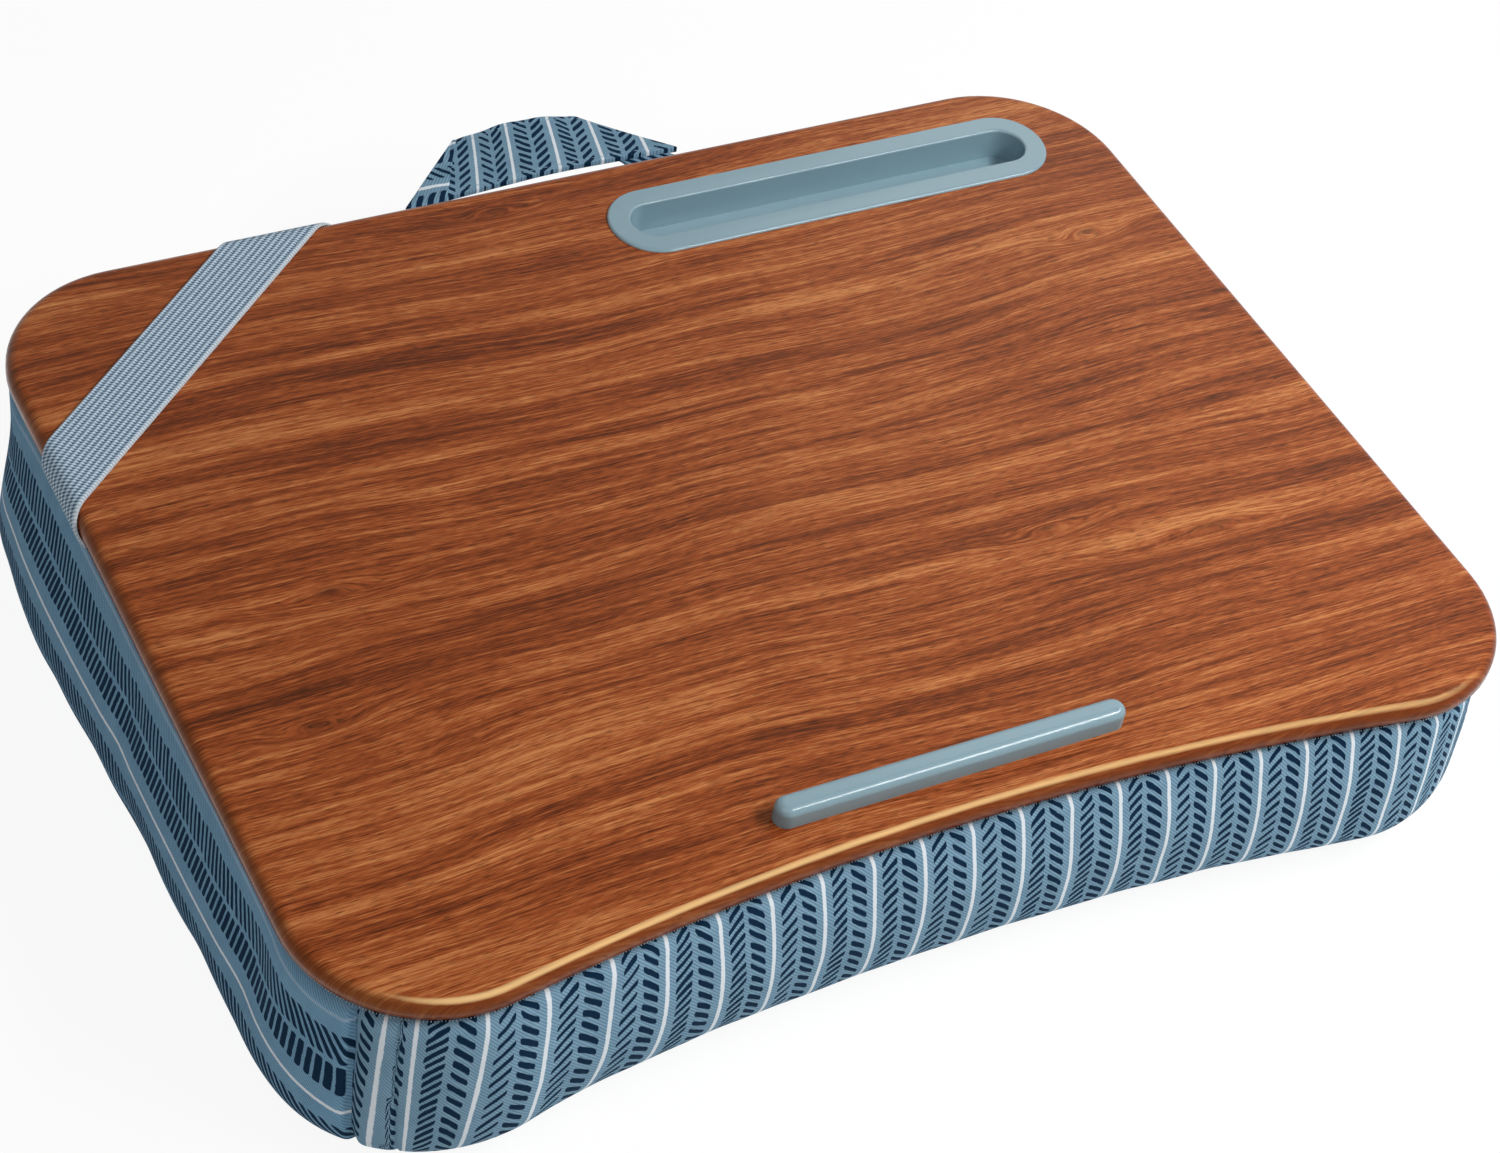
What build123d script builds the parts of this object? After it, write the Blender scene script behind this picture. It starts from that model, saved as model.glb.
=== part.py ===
from build123d import *
import os
from math import asin, atan2, cos, degrees, pi, radians, sin, sqrt, tan

# Lap desk: a walnut-faced board glued and stapled to a bead-filled cushion, with a phone slot, a ledge
# that stops a device sliding off, an elastic strap across the rear left corner and a carrying handle.
# Frame: origin on the floor under the middle of the deck, +X to the user's right, +Y away from the
# user, +Z up. All sizes are in millimetres.

os.makedirs("parts", exist_ok=True)

# ---------------------------------------------------------------- driving sizes
# Deck: a flat board with a round nose, round corners and a front edge that curves in at the middle
deck_width = 451.0
deck_depth = 350.0
deck_thickness = 9.5
deck_nose = 4.5
deck_eased_edge = 3.0
deck_corner = 50.0
deck_front_dip = 14.5

# Cushion: a flat bottom panel and a wall of four gussets. The wall bulges in one arc from the
# bottom seam to the hem, which is turned in under the top panel.
cushion_height = 65.0
side_overhang = 11.5
front_overhang = 8.5
rear_overhang = 5.0
front_radius = 66.0
rear_radius = 74.0
wall_bulge = 10.2
hem_width = 14.0
fabric = 1.2
lining_flats = 4
fill_clearance = 0.3
fill_slack = 2.6
fill_shoulder = 22.0

# Top panel: stiff felt that closes the cushion, stapled through the hem to the deck
top_panel = 2.0
top_panel_setback = 6.0
panel_clearance = 0.3

# Phone slot: a moulded tray with a flange, let into the deck
slot_length = 171.0
slot_width = 18.3
slot_flange = 9.1
slot_to_side = 26.9
slot_to_rear = 18.9
slot_flange_rise = 1.4
slot_flange_edge = 0.9
slot_lip = 1.1
slot_depth = 12.0
slot_wall = 1.8
slot_fit = 0.3
snap_gap = 0.1
snap_length = 14.0
snap_height = 1.0
snap_reach = 0.9
snap_spacing = 100.0

# Device ledge: a hollow moulded bar, screwed on from under the deck
ledge_length = 131.0
ledge_width = 9.0
ledge_height = 8.0
ledge_crown = 3.2
ledge_wall = 1.8
ledge_to_front = 13.3
ledge_boss = 3.1
ledge_screw_spacing = 84.0
ledge_screw_count = 2

# Screws: pan head, self-tapping
screw_shank = 1.4
screw_head = 3.0
screw_head_height = 2.0
screw_grip = 5.0
screw_clearance = 0.3
screw_head_recess = 2.6
cross_slot = 0.8
cross_slot_length = 3.6
cross_slot_depth = 0.9

# Elastic strap: flat ribbed elastic, stapled under the deck at both ends
strap_width = 25.6
strap_thickness = 1.2
strap_angle = 40.8
strap_to_handle = 3.6
strap_gap = 0.3
strap_tail = 12.0
tail_staple_inset = 5.0

# Staples: flat wire, crown flush with the underside of the top panel
staple_crown = 10.0
staple_leg = 6.0
staple_wire = 0.5
staple_flat = 1.2
staple_hole = 0.5
staple_setback = 10.5
staple_spacing = 44.0
staple_margin = 2.0

# Handle: a flat sewn loop behind the rear edge, its two ends stapled under the deck
handle_span = 116.0
handle_leg = 20.0
handle_band = 37.0
handle_hand_gap = 7.0
handle_thickness = 3.0
handle_droop = 6.0
handle_end_length = 26.0
handle_end_thickness = 1.5
handle_staple_pitch = 8.7
handle_running_gap = 0.3
handle_outset = 3.2
handle_rise = 0.6

# ---------------------------------------------------------------- sizes worked out from these
side = deck_width / 2
rear = deck_depth / 2
front = -deck_depth / 2
cushion_side = side + side_overhang
cushion_rear = rear + rear_overhang
cushion_front = front - front_overhang
slot_x = side - slot_to_side - slot_flange - slot_length / 2
slot_y = rear - slot_to_rear - slot_flange - slot_width / 2
deck_bottom = cushion_height + top_panel
deck_top = deck_bottom + deck_thickness
deck_middle = deck_bottom + deck_thickness / 2


def front_wave(reach, corner):
    # Radius of the inward front arc that runs tangent into two corners at a distance reach from
    # the middle
    return (reach**2 + deck_front_dip**2) / (2 * deck_front_dip) - corner


def desk_outline(half_width, rear_y, front_y, rear_corner, front_corner):
    # Plan outline shared by the deck and every level of the cushion: the front edge is one wide
    # inward arc between the two front corners
    reach = half_width - front_corner
    wave = front_wave(reach, front_corner)
    meet_angle = degrees(atan2(deck_front_dip - wave - front_corner, -reach))
    with BuildSketch() as outline:
        with BuildLine():
            Line((0, rear_y), (half_width - rear_corner, rear_y))
            CenterArc((half_width - rear_corner, rear_y - rear_corner), rear_corner, 0, 90)
            Line((half_width, rear_y - rear_corner), (half_width, front_y + front_corner))
            CenterArc((reach, front_y + front_corner), front_corner, meet_angle, -meet_angle)
            CenterArc((0, front_y + deck_front_dip - wave), wave, meet_angle + 180, -meet_angle - 90)
            mirror(about=Plane.YZ)
        make_face()
    return outline.sketch


def inset_outline(inset):
    # The deck's outline, drawn in by the same distance all round
    return desk_outline(
        side - inset, rear - inset, front + inset, deck_corner - inset, deck_corner - inset
    )


def cushion_outline(drawn_in):
    # The cushion's outline at a level where its wall stands inside its widest level
    return desk_outline(
        cushion_side - drawn_in,
        cushion_rear - drawn_in,
        cushion_front + drawn_in,
        rear_radius - drawn_in,
        front_radius - drawn_in,
    )


def turned_wall(centre, radius, start, turn):
    # A stretch of wall that turns about an upright axis. A negative radius is a turn about an axis
    # that stands outside the cushion.
    heading = radians(start)
    outward = (cos(heading), sin(heading))
    with BuildPart() as wall:
        with BuildSketch(Plane(centre, x_dir=outward, z_dir=(outward[1], -outward[0]))):
            with Locations((radius, 0)):
                add(wall_section)
        revolve(axis=Axis(centre, (0, 0, 1)), revolution_arc=turn)
    return wall.part


def straight_wall(begin, end):
    # A straight stretch of wall at its widest level, with the cushion on the left of its run
    run = Vector(*end) - Vector(*begin)
    with BuildPart() as wall:
        with BuildSketch(Plane(begin, x_dir=(run.Y, -run.X), z_dir=-run)):
            add(wall_section)
        extrude(amount=-run.length)
    return wall.part


def staple(crown_bottom, turned):
    # One flat-wire staple, points up, with its crown along X, or along Y when turned
    with BuildPart() as wire:
        with BuildSketch(Plane.XZ):
            with Locations((0, crown_bottom + (staple_leg + staple_wire) / 2)):
                Rectangle(staple_crown, staple_leg + staple_wire)
            with Locations((0, crown_bottom + staple_wire + staple_leg / 2)):
                Rectangle(staple_crown - 2 * staple_wire, staple_leg, mode=Mode.SUBTRACT)
        extrude(amount=staple_flat / 2, both=True)
    return wire.part.rotate(Axis.Z, turned)


def front_edge(x):
    # Where the inward front arc of the deck runs at a distance x from its middle
    wave = front_wave(side - deck_corner, deck_corner)
    return front + deck_front_dip - wave + sqrt(wave**2 - x**2)


def spread(length, spacing):
    # Places an even spacing apart along a straight length, about its middle
    count = int(length // spacing) + 1
    return [(i - (count - 1) / 2) * spacing for i in range(count)]


# ---------------------------------------------------------------- deck board
ledge_y = front + deck_front_dip + ledge_to_front + ledge_width / 2
ledge_screws_x = [
    (i - (ledge_screw_count - 1) / 2) * ledge_screw_spacing for i in range(ledge_screw_count)
]
slot_tray_length = slot_length + 2 * slot_wall
slot_tray_width = slot_width + 2 * slot_wall
slot_plane = Plane((slot_x, slot_y, deck_top))

with BuildPart() as deck_board:
    with BuildSketch(Plane.XY.offset(deck_bottom)):
        add(inset_outline(0))
    extrude(amount=deck_thickness)
    fillet(deck_board.faces().sort_by(Axis.Z)[-1].edges(), deck_nose)
    chamfer(deck_board.faces().sort_by(Axis.Z)[0].edges(), deck_eased_edge)
    with BuildSketch(slot_plane):
        SlotOverall(slot_tray_length + 2 * slot_fit, slot_tray_width + 2 * slot_fit)
    extrude(amount=-deck_thickness, mode=Mode.SUBTRACT)
    for x in ledge_screws_x:
        with Locations(Plane((x, ledge_y, deck_bottom), z_dir=(0, 0, -1))):
            CounterBoreHole(
                screw_shank + screw_clearance,
                screw_head + screw_clearance,
                screw_head_recess,
                deck_thickness,
            )
deck_board.part.label = "deck_board"
export_step(deck_board.part, "parts/deck_board.step")

# ---------------------------------------------------------------- phone slot bezel
slot_floor = deck_top - slot_depth
snap_plane = Plane((slot_x, slot_y, deck_bottom - snap_gap - snap_height / 2))

with BuildPart() as phone_slot_bezel:
    with BuildSketch(slot_plane):
        SlotOverall(slot_length + 2 * slot_flange, slot_width + 2 * slot_flange)
    extrude(amount=slot_flange_rise)
    chamfer(phone_slot_bezel.faces().sort_by(Axis.Z)[-1].edges(), slot_flange_edge)
    with BuildSketch(slot_plane):
        SlotOverall(slot_tray_length, slot_tray_width)
    extrude(amount=-slot_depth - slot_wall)
    with BuildSketch(slot_plane.offset(slot_flange_rise)):
        SlotOverall(slot_length, slot_width)
    extrude(amount=-slot_flange_rise - slot_depth, mode=Mode.SUBTRACT)
    rim = phone_slot_bezel.faces().filter_by(Axis.Z).sort_by(Axis.Z)[-1].inner_wires().edges()
    chamfer(rim, slot_lip)
    # Four barbs snap out under the deck and hold the tray in
    with Locations(snap_plane):
        with GridLocations(snap_spacing, slot_tray_width + snap_reach, 2, 2):
            Box(snap_length, snap_reach, snap_height)
phone_slot_bezel.part.label = "phone_slot_bezel"
export_step(phone_slot_bezel.part, "parts/phone_slot_bezel.step")

# ---------------------------------------------------------------- device ledge and its screws
ledge_plane = Plane((0, ledge_y, deck_top))
screw_tip = deck_top + screw_grip

with BuildPart() as device_ledge:
    with BuildSketch(ledge_plane):
        SlotOverall(ledge_length, ledge_width)
    extrude(amount=ledge_height)
    fillet(device_ledge.faces().sort_by(Axis.Z)[-1].edges(), ledge_crown)
    with BuildSketch(ledge_plane):
        SlotOverall(ledge_length - 2 * ledge_wall, ledge_width - 2 * ledge_wall)
        with Locations(*[(x, 0) for x in ledge_screws_x]):
            Circle(ledge_boss, mode=Mode.SUBTRACT)
    extrude(amount=ledge_height - ledge_wall - ledge_crown / 2, mode=Mode.SUBTRACT)
    with Locations(*[Plane((x, ledge_y, deck_top), z_dir=(0, 0, -1)) for x in ledge_screws_x]):
        Hole(screw_shank, depth=screw_grip + screw_clearance)
device_ledge.part.label = "device_ledge"
export_step(device_ledge.part, "parts/device_ledge.step")

screw_seat = deck_bottom + screw_head_recess
with BuildPart() as ledge_screws:
    for x in ledge_screws_x:
        with BuildSketch(Plane((x, ledge_y, screw_seat))):
            Circle(screw_head)
        extrude(amount=-screw_head_height)
        with BuildSketch(Plane((x, ledge_y, screw_seat))):
            Circle(screw_shank)
        extrude(amount=screw_tip - screw_seat)
        with BuildSketch(Plane((x, ledge_y, screw_seat - screw_head_height))):
            Rectangle(cross_slot_length, cross_slot)
            Rectangle(cross_slot, cross_slot_length)
        extrude(amount=cross_slot_depth, mode=Mode.SUBTRACT)
ledge_screws.part.label = "ledge_screws"
export_step(ledge_screws.part, "parts/ledge_screws.step")

# ---------------------------------------------------------------- elastic strap
# The strap lies across the corner, goes round the deck's nose at both ends and runs on under the
# deck in the direction in which it is pulled. Its edges are worked out as straight lines on the
# unrolled strap: across the flat they keep the strap's angle, and round the nose they drift on.
slope = tan(radians(strap_angle))
across = Vector(-sin(radians(strap_angle)), cos(radians(strap_angle)))
nose_x = -side + deck_nose
nose_y = rear - deck_nose
wrap_inner = deck_thickness / 2 + strap_gap
wrap_outer = wrap_inner + strap_thickness
wrap_run = pi * (wrap_inner + wrap_outer) / 2
strap_top = deck_top + strap_gap
strap_tail_top = deck_bottom - strap_gap
left_drift = wrap_run * slope
rear_drift = wrap_run / slope
# The rear tail ends a clearance short of the handle's end, which settles where the strap lies
strap_near = -handle_span / 2 - strap_to_handle - strap_tail / slope - rear_drift
strap_first = across.Y * nose_y + across.X * strap_near
strap_edges = (strap_first, strap_first + strap_width)
left_edges = [(edge + across.X * -nose_x) / across.Y for edge in strap_edges]
rear_edges = [(across.Y * nose_y - edge) / -across.X for edge in strap_edges]

with BuildPart() as left_wrap:
    with BuildSketch(Plane.XZ):
        with Locations((nose_x, deck_middle)):
            Circle(wrap_outer)
            Circle(wrap_inner, mode=Mode.SUBTRACT)
        with Locations((nose_x, deck_middle)):
            Rectangle(
                wrap_outer, 2 * wrap_outer, align=(Align.MIN, Align.CENTER), mode=Mode.SUBTRACT
            )
    extrude(amount=deck_depth, both=True)
    with BuildSketch(Plane.YZ.offset(nose_x)):
        Polygon(
            (left_edges[0], deck_middle + wrap_outer),
            (left_edges[1], deck_middle + wrap_outer),
            (left_edges[1] - left_drift, deck_middle - wrap_outer),
            (left_edges[0] - left_drift, deck_middle - wrap_outer),
            align=None,
        )
    extrude(amount=-2 * wrap_outer, mode=Mode.INTERSECT)

with BuildPart() as rear_wrap:
    with BuildSketch(Plane.YZ):
        with Locations((nose_y, deck_middle)):
            Circle(wrap_outer)
            Circle(wrap_inner, mode=Mode.SUBTRACT)
        with Locations((nose_y, deck_middle)):
            Rectangle(
                wrap_outer, 2 * wrap_outer, align=(Align.MAX, Align.CENTER), mode=Mode.SUBTRACT
            )
    extrude(amount=deck_width, both=True)
    with BuildSketch(Plane.XZ.offset(-nose_y)):
        Polygon(
            (rear_edges[1], deck_middle + wrap_outer),
            (rear_edges[0], deck_middle + wrap_outer),
            (rear_edges[0] + rear_drift, deck_middle - wrap_outer),
            (rear_edges[1] + rear_drift, deck_middle - wrap_outer),
            align=None,
        )
    extrude(amount=-2 * wrap_outer, mode=Mode.INTERSECT)

# Where the two staples of each tail go, along the middle of the tail and across it
tail_middle = strap_tail - tail_staple_inset
left_tail_y = (left_edges[0] + left_edges[1]) / 2 - left_drift - tail_middle * slope
rear_tail_x = (rear_edges[0] + rear_edges[1]) / 2 + rear_drift + tail_middle / slope
left_pitch = strap_width / cos(radians(strap_angle)) / 2
rear_pitch = strap_width / sin(radians(strap_angle)) / 2
left_staple_places = [(nose_x + tail_middle, left_tail_y + s * left_pitch / 2) for s in (-1, 1)]
rear_staple_places = [(rear_tail_x + s * rear_pitch / 2, nose_y - tail_middle) for s in (-1, 1)]

with BuildPart() as elastic_strap:
    with BuildSketch(Plane.XY.offset(strap_top)):
        Polygon(
            (nose_x, left_edges[0]),
            (nose_x, left_edges[1]),
            (rear_edges[1], nose_y),
            (rear_edges[0], nose_y),
            align=None,
        )
    extrude(amount=strap_thickness)
    add(left_wrap.part)
    add(rear_wrap.part)
    with BuildSketch(Plane.XY.offset(strap_tail_top)):
        Polygon(
            (nose_x, left_edges[0] - left_drift),
            (nose_x, left_edges[1] - left_drift),
            (nose_x + strap_tail, left_edges[1] - left_drift - strap_tail * slope),
            (nose_x + strap_tail, left_edges[0] - left_drift - strap_tail * slope),
            align=None,
        )
        Polygon(
            (rear_edges[0] + rear_drift, nose_y),
            (rear_edges[1] + rear_drift, nose_y),
            (rear_edges[1] + rear_drift + strap_tail / slope, nose_y - strap_tail),
            (rear_edges[0] + rear_drift + strap_tail / slope, nose_y - strap_tail),
            align=None,
        )
    extrude(amount=-strap_thickness)
    leg_pitch = staple_crown - staple_wire
    with BuildSketch(Plane.XY.offset(strap_tail_top)):
        with Locations(*[(x, y + s * leg_pitch / 2) for x, y in left_staple_places for s in (-1, 1)]):
            Rectangle(staple_flat + staple_hole, staple_wire + staple_hole)
        with Locations(*[(x + s * leg_pitch / 2, y) for x, y in rear_staple_places for s in (-1, 1)]):
            Rectangle(staple_wire + staple_hole, staple_flat + staple_hole)
    extrude(amount=-strap_thickness, mode=Mode.SUBTRACT)
elastic_strap.part.label = "elastic_strap"
export_step(elastic_strap.part, "parts/elastic_strap.step")

strap_crown = strap_tail_top - strap_thickness - staple_wire
with BuildPart() as strap_staples:
    with Locations(*[(x, y, 0) for x, y in left_staple_places]):
        add(staple(strap_crown, 90))
    with Locations(*[(x, y, 0) for x, y in rear_staple_places]):
        add(staple(strap_crown, 0))
strap_staples.part.label = "strap_staples"
export_step(strap_staples.part, "parts/strap_staples.step")

# ---------------------------------------------------------------- handle
hinge_y = rear + handle_outset
hinge_z = deck_bottom - handle_thickness / 2 + handle_rise
band_inner = rear + handle_hand_gap
band_outer = band_inner + handle_band
handle_reach = band_outer - hinge_y
leg_inner = handle_span / 2 - handle_leg

with BuildPart() as handle_strap:
    with BuildSketch(Plane.YZ):
        with Locations((hinge_y, hinge_z)):
            Circle(handle_thickness / 2)
        with Locations(Location((hinge_y, hinge_z), -handle_droop)):
            Rectangle(
                handle_reach / cos(radians(handle_droop)),
                handle_thickness,
                align=(Align.MIN, Align.CENTER),
            )
    extrude(amount=handle_span / 2, both=True)
    # Seen from above: two short legs, and a band with its corners folded to a mitre
    with BuildSketch(Plane.XY):
        Polygon(
            (-handle_span / 2, rear),
            (-handle_span / 2, band_inner),
            (-handle_span / 2 + handle_band, band_outer),
            (handle_span / 2 - handle_band, band_outer),
            (handle_span / 2, band_inner),
            (handle_span / 2, rear),
            align=None,
        )
        Polygon(
            (-leg_inner, rear),
            (-leg_inner, band_inner),
            (leg_inner, band_inner),
            (leg_inner, rear),
            align=None,
            mode=Mode.SUBTRACT,
        )
    extrude(amount=deck_top, mode=Mode.INTERSECT)
handle_strap.part.label = "handle_strap"
export_step(handle_strap.part, "parts/handle_strap.step")

end_rear = hinge_y - handle_thickness / 2 - handle_running_gap
end_x = leg_inner + handle_leg / 2
handle_end_y = end_rear - handle_end_length / 2
with BuildPart() as handle_ends:
    with Locations(*[(s * end_x, handle_end_y, deck_bottom) for s in (-1, 1)]):
        Box(
            handle_leg,
            handle_end_length,
            handle_end_thickness,
            align=(Align.CENTER, Align.CENTER, Align.MAX),
        )
handle_ends.part.label = "handle_ends"
export_step(handle_ends.part, "parts/handle_ends.step")

end_crown = deck_bottom - handle_end_thickness - staple_wire
with BuildPart() as handle_staples:
    with Locations((0, handle_end_y, 0)):
        with GridLocations(2 * end_x, handle_staple_pitch, 2, 2):
            add(staple(end_crown, 0))
handle_staples.part.label = "handle_staples"
export_step(handle_staples.part, "parts/handle_staples.step")

# ---------------------------------------------------------------- cushion
# One section makes the whole wall: a bulging band of fabric with its top edge turned in as a hem.
# Its outside at the widest level lies on the sketch's Y axis. Its hidden side is drawn in flats.
wall_middle = (fabric + cushion_height) / 2
with BuildSketch() as wall_shape:
    with BuildLine():
        outside = ThreePointArc((-wall_bulge, fabric), (0, wall_middle), (-wall_bulge, cushion_height))
        hem_top = Line(outside @ 1, (-wall_bulge - hem_width, cushion_height))
        hem_end = Line(hem_top @ 1, (-wall_bulge - hem_width, cushion_height - fabric))
        hem_under = Line(hem_end @ 1, (-wall_bulge - fabric, cushion_height - fabric))
        lining = ThreePointArc(
            hem_under @ 1, (-fabric, wall_middle), (-wall_bulge - fabric, fabric), mode=Mode.PRIVATE
        )
        Polyline(*[lining @ (i / lining_flats) for i in range(lining_flats + 1)])
        Line(lining @ 1, outside @ 0)
    make_face()
wall_section = wall_shape.sketch

# The corners' upright axes, and the axis of the inward arc in front of the desk
front_x = cushion_side - front_radius
front_y = cushion_front + front_radius
rear_x = cushion_side - rear_radius
rear_y = cushion_rear - rear_radius
wave = front_wave(front_x, front_radius)
wave_y = cushion_front + deck_front_dip - wave
wave_turn = degrees(asin(front_x / (wave + front_radius)))

with BuildPart() as left_gusset:
    add(turned_wall((-rear_x, rear_y), rear_radius, 135, 45))
    add(straight_wall((-cushion_side, rear_y), (-cushion_side, front_y)))
    add(turned_wall((-front_x, front_y), front_radius, 180, 45))
left_gusset.part.label = "left_gusset"
export_step(left_gusset.part, "parts/left_gusset.step")

with BuildPart() as front_gusset:
    add(turned_wall((-front_x, front_y), front_radius, 225, 45 + wave_turn))
    add(turned_wall((0, wave_y), -wave, wave_turn - 90, -2 * wave_turn))
    add(turned_wall((front_x, front_y), front_radius, 270 - wave_turn, 45 + wave_turn))
front_gusset.part.label = "front_gusset"
export_step(front_gusset.part, "parts/front_gusset.step")

with BuildPart() as right_gusset:
    add(turned_wall((front_x, front_y), front_radius, 315, 45))
    add(straight_wall((cushion_side, front_y), (cushion_side, rear_y)))
    add(turned_wall((rear_x, rear_y), rear_radius, 0, 45))
right_gusset.part.label = "right_gusset"
export_step(right_gusset.part, "parts/right_gusset.step")

with BuildPart() as rear_gusset:
    add(turned_wall((rear_x, rear_y), rear_radius, 45, 45))
    add(straight_wall((rear_x, cushion_rear), (-rear_x, cushion_rear)))
    add(turned_wall((-rear_x, rear_y), rear_radius, 90, 45))
rear_gusset.part.label = "rear_gusset"
export_step(rear_gusset.part, "parts/rear_gusset.step")

with BuildPart() as bottom_panel:
    with BuildSketch():
        add(cushion_outline(wall_bulge))
    extrude(amount=fabric)
bottom_panel.part.label = "bottom_panel"
export_step(bottom_panel.part, "parts/bottom_panel.step")

# The fill lies inside the wall and under the hem's staples, with its shoulders cut to the bulge.
# The slot tray reaches below the deck, so the fill and the top panel leave room for it.
tray_bottom = slot_floor - slot_wall
fill_bottom = fabric + fill_clearance
fill_top = cushion_height - fabric - staple_wire - fill_clearance
with BuildPart() as bead_fill:
    with BuildSketch(Plane.XY.offset(fill_bottom)):
        add(cushion_outline(fabric + fill_clearance + fill_slack))
    extrude(amount=fill_top - fill_bottom)
    rims = bead_fill.faces().sort_by(Axis.Z)
    chamfer(rims[0].edges(), fill_shoulder, wall_bulge)
    chamfer(rims[-1].edges(), fill_shoulder, wall_bulge)
    with BuildSketch(Plane((slot_x, slot_y, fill_top))):
        SlotOverall(slot_tray_length + 2 * slot_fit, slot_tray_width + 2 * slot_fit)
    extrude(amount=tray_bottom - slot_fit - fill_top, mode=Mode.SUBTRACT)
bead_fill.part.label = "bead_fill"
export_step(bead_fill.part, "parts/bead_fill.step")

# Room for the strap's tails: the two edges of each notch where it crosses the inside of the nose
notch_reach = strap_tail + panel_clearance
left_margin = panel_clearance / cos(radians(strap_angle))
rear_margin = panel_clearance / sin(radians(strap_angle))
left_notch = (left_edges[0] - left_drift - left_margin, left_edges[1] - left_drift + left_margin)
rear_notch = (rear_edges[0] + rear_drift + rear_margin, rear_edges[1] + rear_drift - rear_margin)

with BuildPart() as cushion_top_panel:
    with BuildSketch(Plane.XY.offset(cushion_height)):
        add(inset_outline(top_panel_setback))
        with Locations((slot_x, slot_y)):
            SlotOverall(
                slot_tray_length + 2 * (snap_reach + slot_fit),
                slot_tray_width + 2 * (snap_reach + slot_fit),
                mode=Mode.SUBTRACT,
            )
        # Notches for the strap's two tails and the handle's two ends
        Polygon(
            (nose_x - top_panel_setback, left_notch[0] + top_panel_setback * slope),
            (nose_x - top_panel_setback, left_notch[1] + top_panel_setback * slope),
            (nose_x + notch_reach, left_notch[1] - notch_reach * slope),
            (nose_x + notch_reach, left_notch[0] - notch_reach * slope),
            align=None,
            mode=Mode.SUBTRACT,
        )
        Polygon(
            (rear_notch[0] - top_panel_setback / slope, nose_y + top_panel_setback),
            (rear_notch[1] - top_panel_setback / slope, nose_y + top_panel_setback),
            (rear_notch[1] + notch_reach / slope, nose_y - notch_reach),
            (rear_notch[0] + notch_reach / slope, nose_y - notch_reach),
            align=None,
            mode=Mode.SUBTRACT,
        )
        with Locations(*[(s * end_x, handle_end_y) for s in (-1, 1)]):
            Rectangle(
                handle_leg + 2 * panel_clearance,
                handle_end_length + 2 * panel_clearance,
                mode=Mode.SUBTRACT,
            )
    extrude(amount=top_panel)
cushion_top_panel.part.label = "cushion_top_panel"
export_step(cushion_top_panel.part, "parts/cushion_top_panel.step")

# The hem's staples follow the deck's edge, and leave out the strap's tails and the handle's ends
staple_room = staple_crown / 2 + staple_margin
straight_width = deck_width - 2 * deck_corner
straight_depth = deck_depth - 2 * deck_corner
rear_places = [
    x
    for x in spread(straight_width, staple_spacing)
    if abs(abs(x) - end_x) > handle_leg / 2 + staple_room
    and not rear_notch[1] - staple_room < x < rear_notch[0] + notch_reach / slope + staple_room
]
front_places = spread(straight_width - staple_crown, staple_spacing)
right_places = spread(straight_depth, staple_spacing)
left_places = [
    y
    for y in right_places
    if not left_notch[0] - notch_reach * slope - staple_room < y < left_notch[1] + staple_room
]

hem_crown = cushion_height - fabric - staple_wire
with BuildPart() as cushion_staples:
    with Locations(*[(x, rear - staple_setback, 0) for x in rear_places]):
        add(staple(hem_crown, 0))
    with Locations(*[(x, front_edge(x) + staple_setback, 0) for x in front_places]):
        add(staple(hem_crown, 0))
    with Locations(*[(staple_setback - side, y, 0) for y in left_places]):
        add(staple(hem_crown, 90))
    with Locations(*[(side - staple_setback, y, 0) for y in right_places]):
        add(staple(hem_crown, 90))
cushion_staples.part.label = "cushion_staples"
export_step(cushion_staples.part, "parts/cushion_staples.step")
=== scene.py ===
import math

import bmesh
import bpy
import numpy as np
from mathutils import Matrix, Vector


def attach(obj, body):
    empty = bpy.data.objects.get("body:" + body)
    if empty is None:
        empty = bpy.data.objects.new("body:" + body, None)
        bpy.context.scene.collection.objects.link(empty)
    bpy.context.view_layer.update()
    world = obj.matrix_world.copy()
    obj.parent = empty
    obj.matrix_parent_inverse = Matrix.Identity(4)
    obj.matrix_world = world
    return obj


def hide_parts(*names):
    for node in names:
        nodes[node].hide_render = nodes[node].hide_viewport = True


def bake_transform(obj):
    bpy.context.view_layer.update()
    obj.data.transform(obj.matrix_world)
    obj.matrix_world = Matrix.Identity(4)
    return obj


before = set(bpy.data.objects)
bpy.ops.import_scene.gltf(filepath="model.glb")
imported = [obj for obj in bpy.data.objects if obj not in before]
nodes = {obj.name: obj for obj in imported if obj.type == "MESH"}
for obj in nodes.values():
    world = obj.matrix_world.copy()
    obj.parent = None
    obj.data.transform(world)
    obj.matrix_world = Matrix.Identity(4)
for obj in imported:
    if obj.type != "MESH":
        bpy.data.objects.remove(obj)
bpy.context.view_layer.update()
scene = bpy.context.scene
mm = 0.001


# small helpers

def linearColour(hexCode):
    # "#rrggbb" as written in sRGB, to the linear values that the shader works in
    parts = [int(hexCode[i:i + 2], 16) / 255 for i in (1, 3, 5)]
    return [c / 12.92 if c <= 0.04045 else ((c + 0.055) / 1.055) ** 2.4 for c in parts] + [1]


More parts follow.
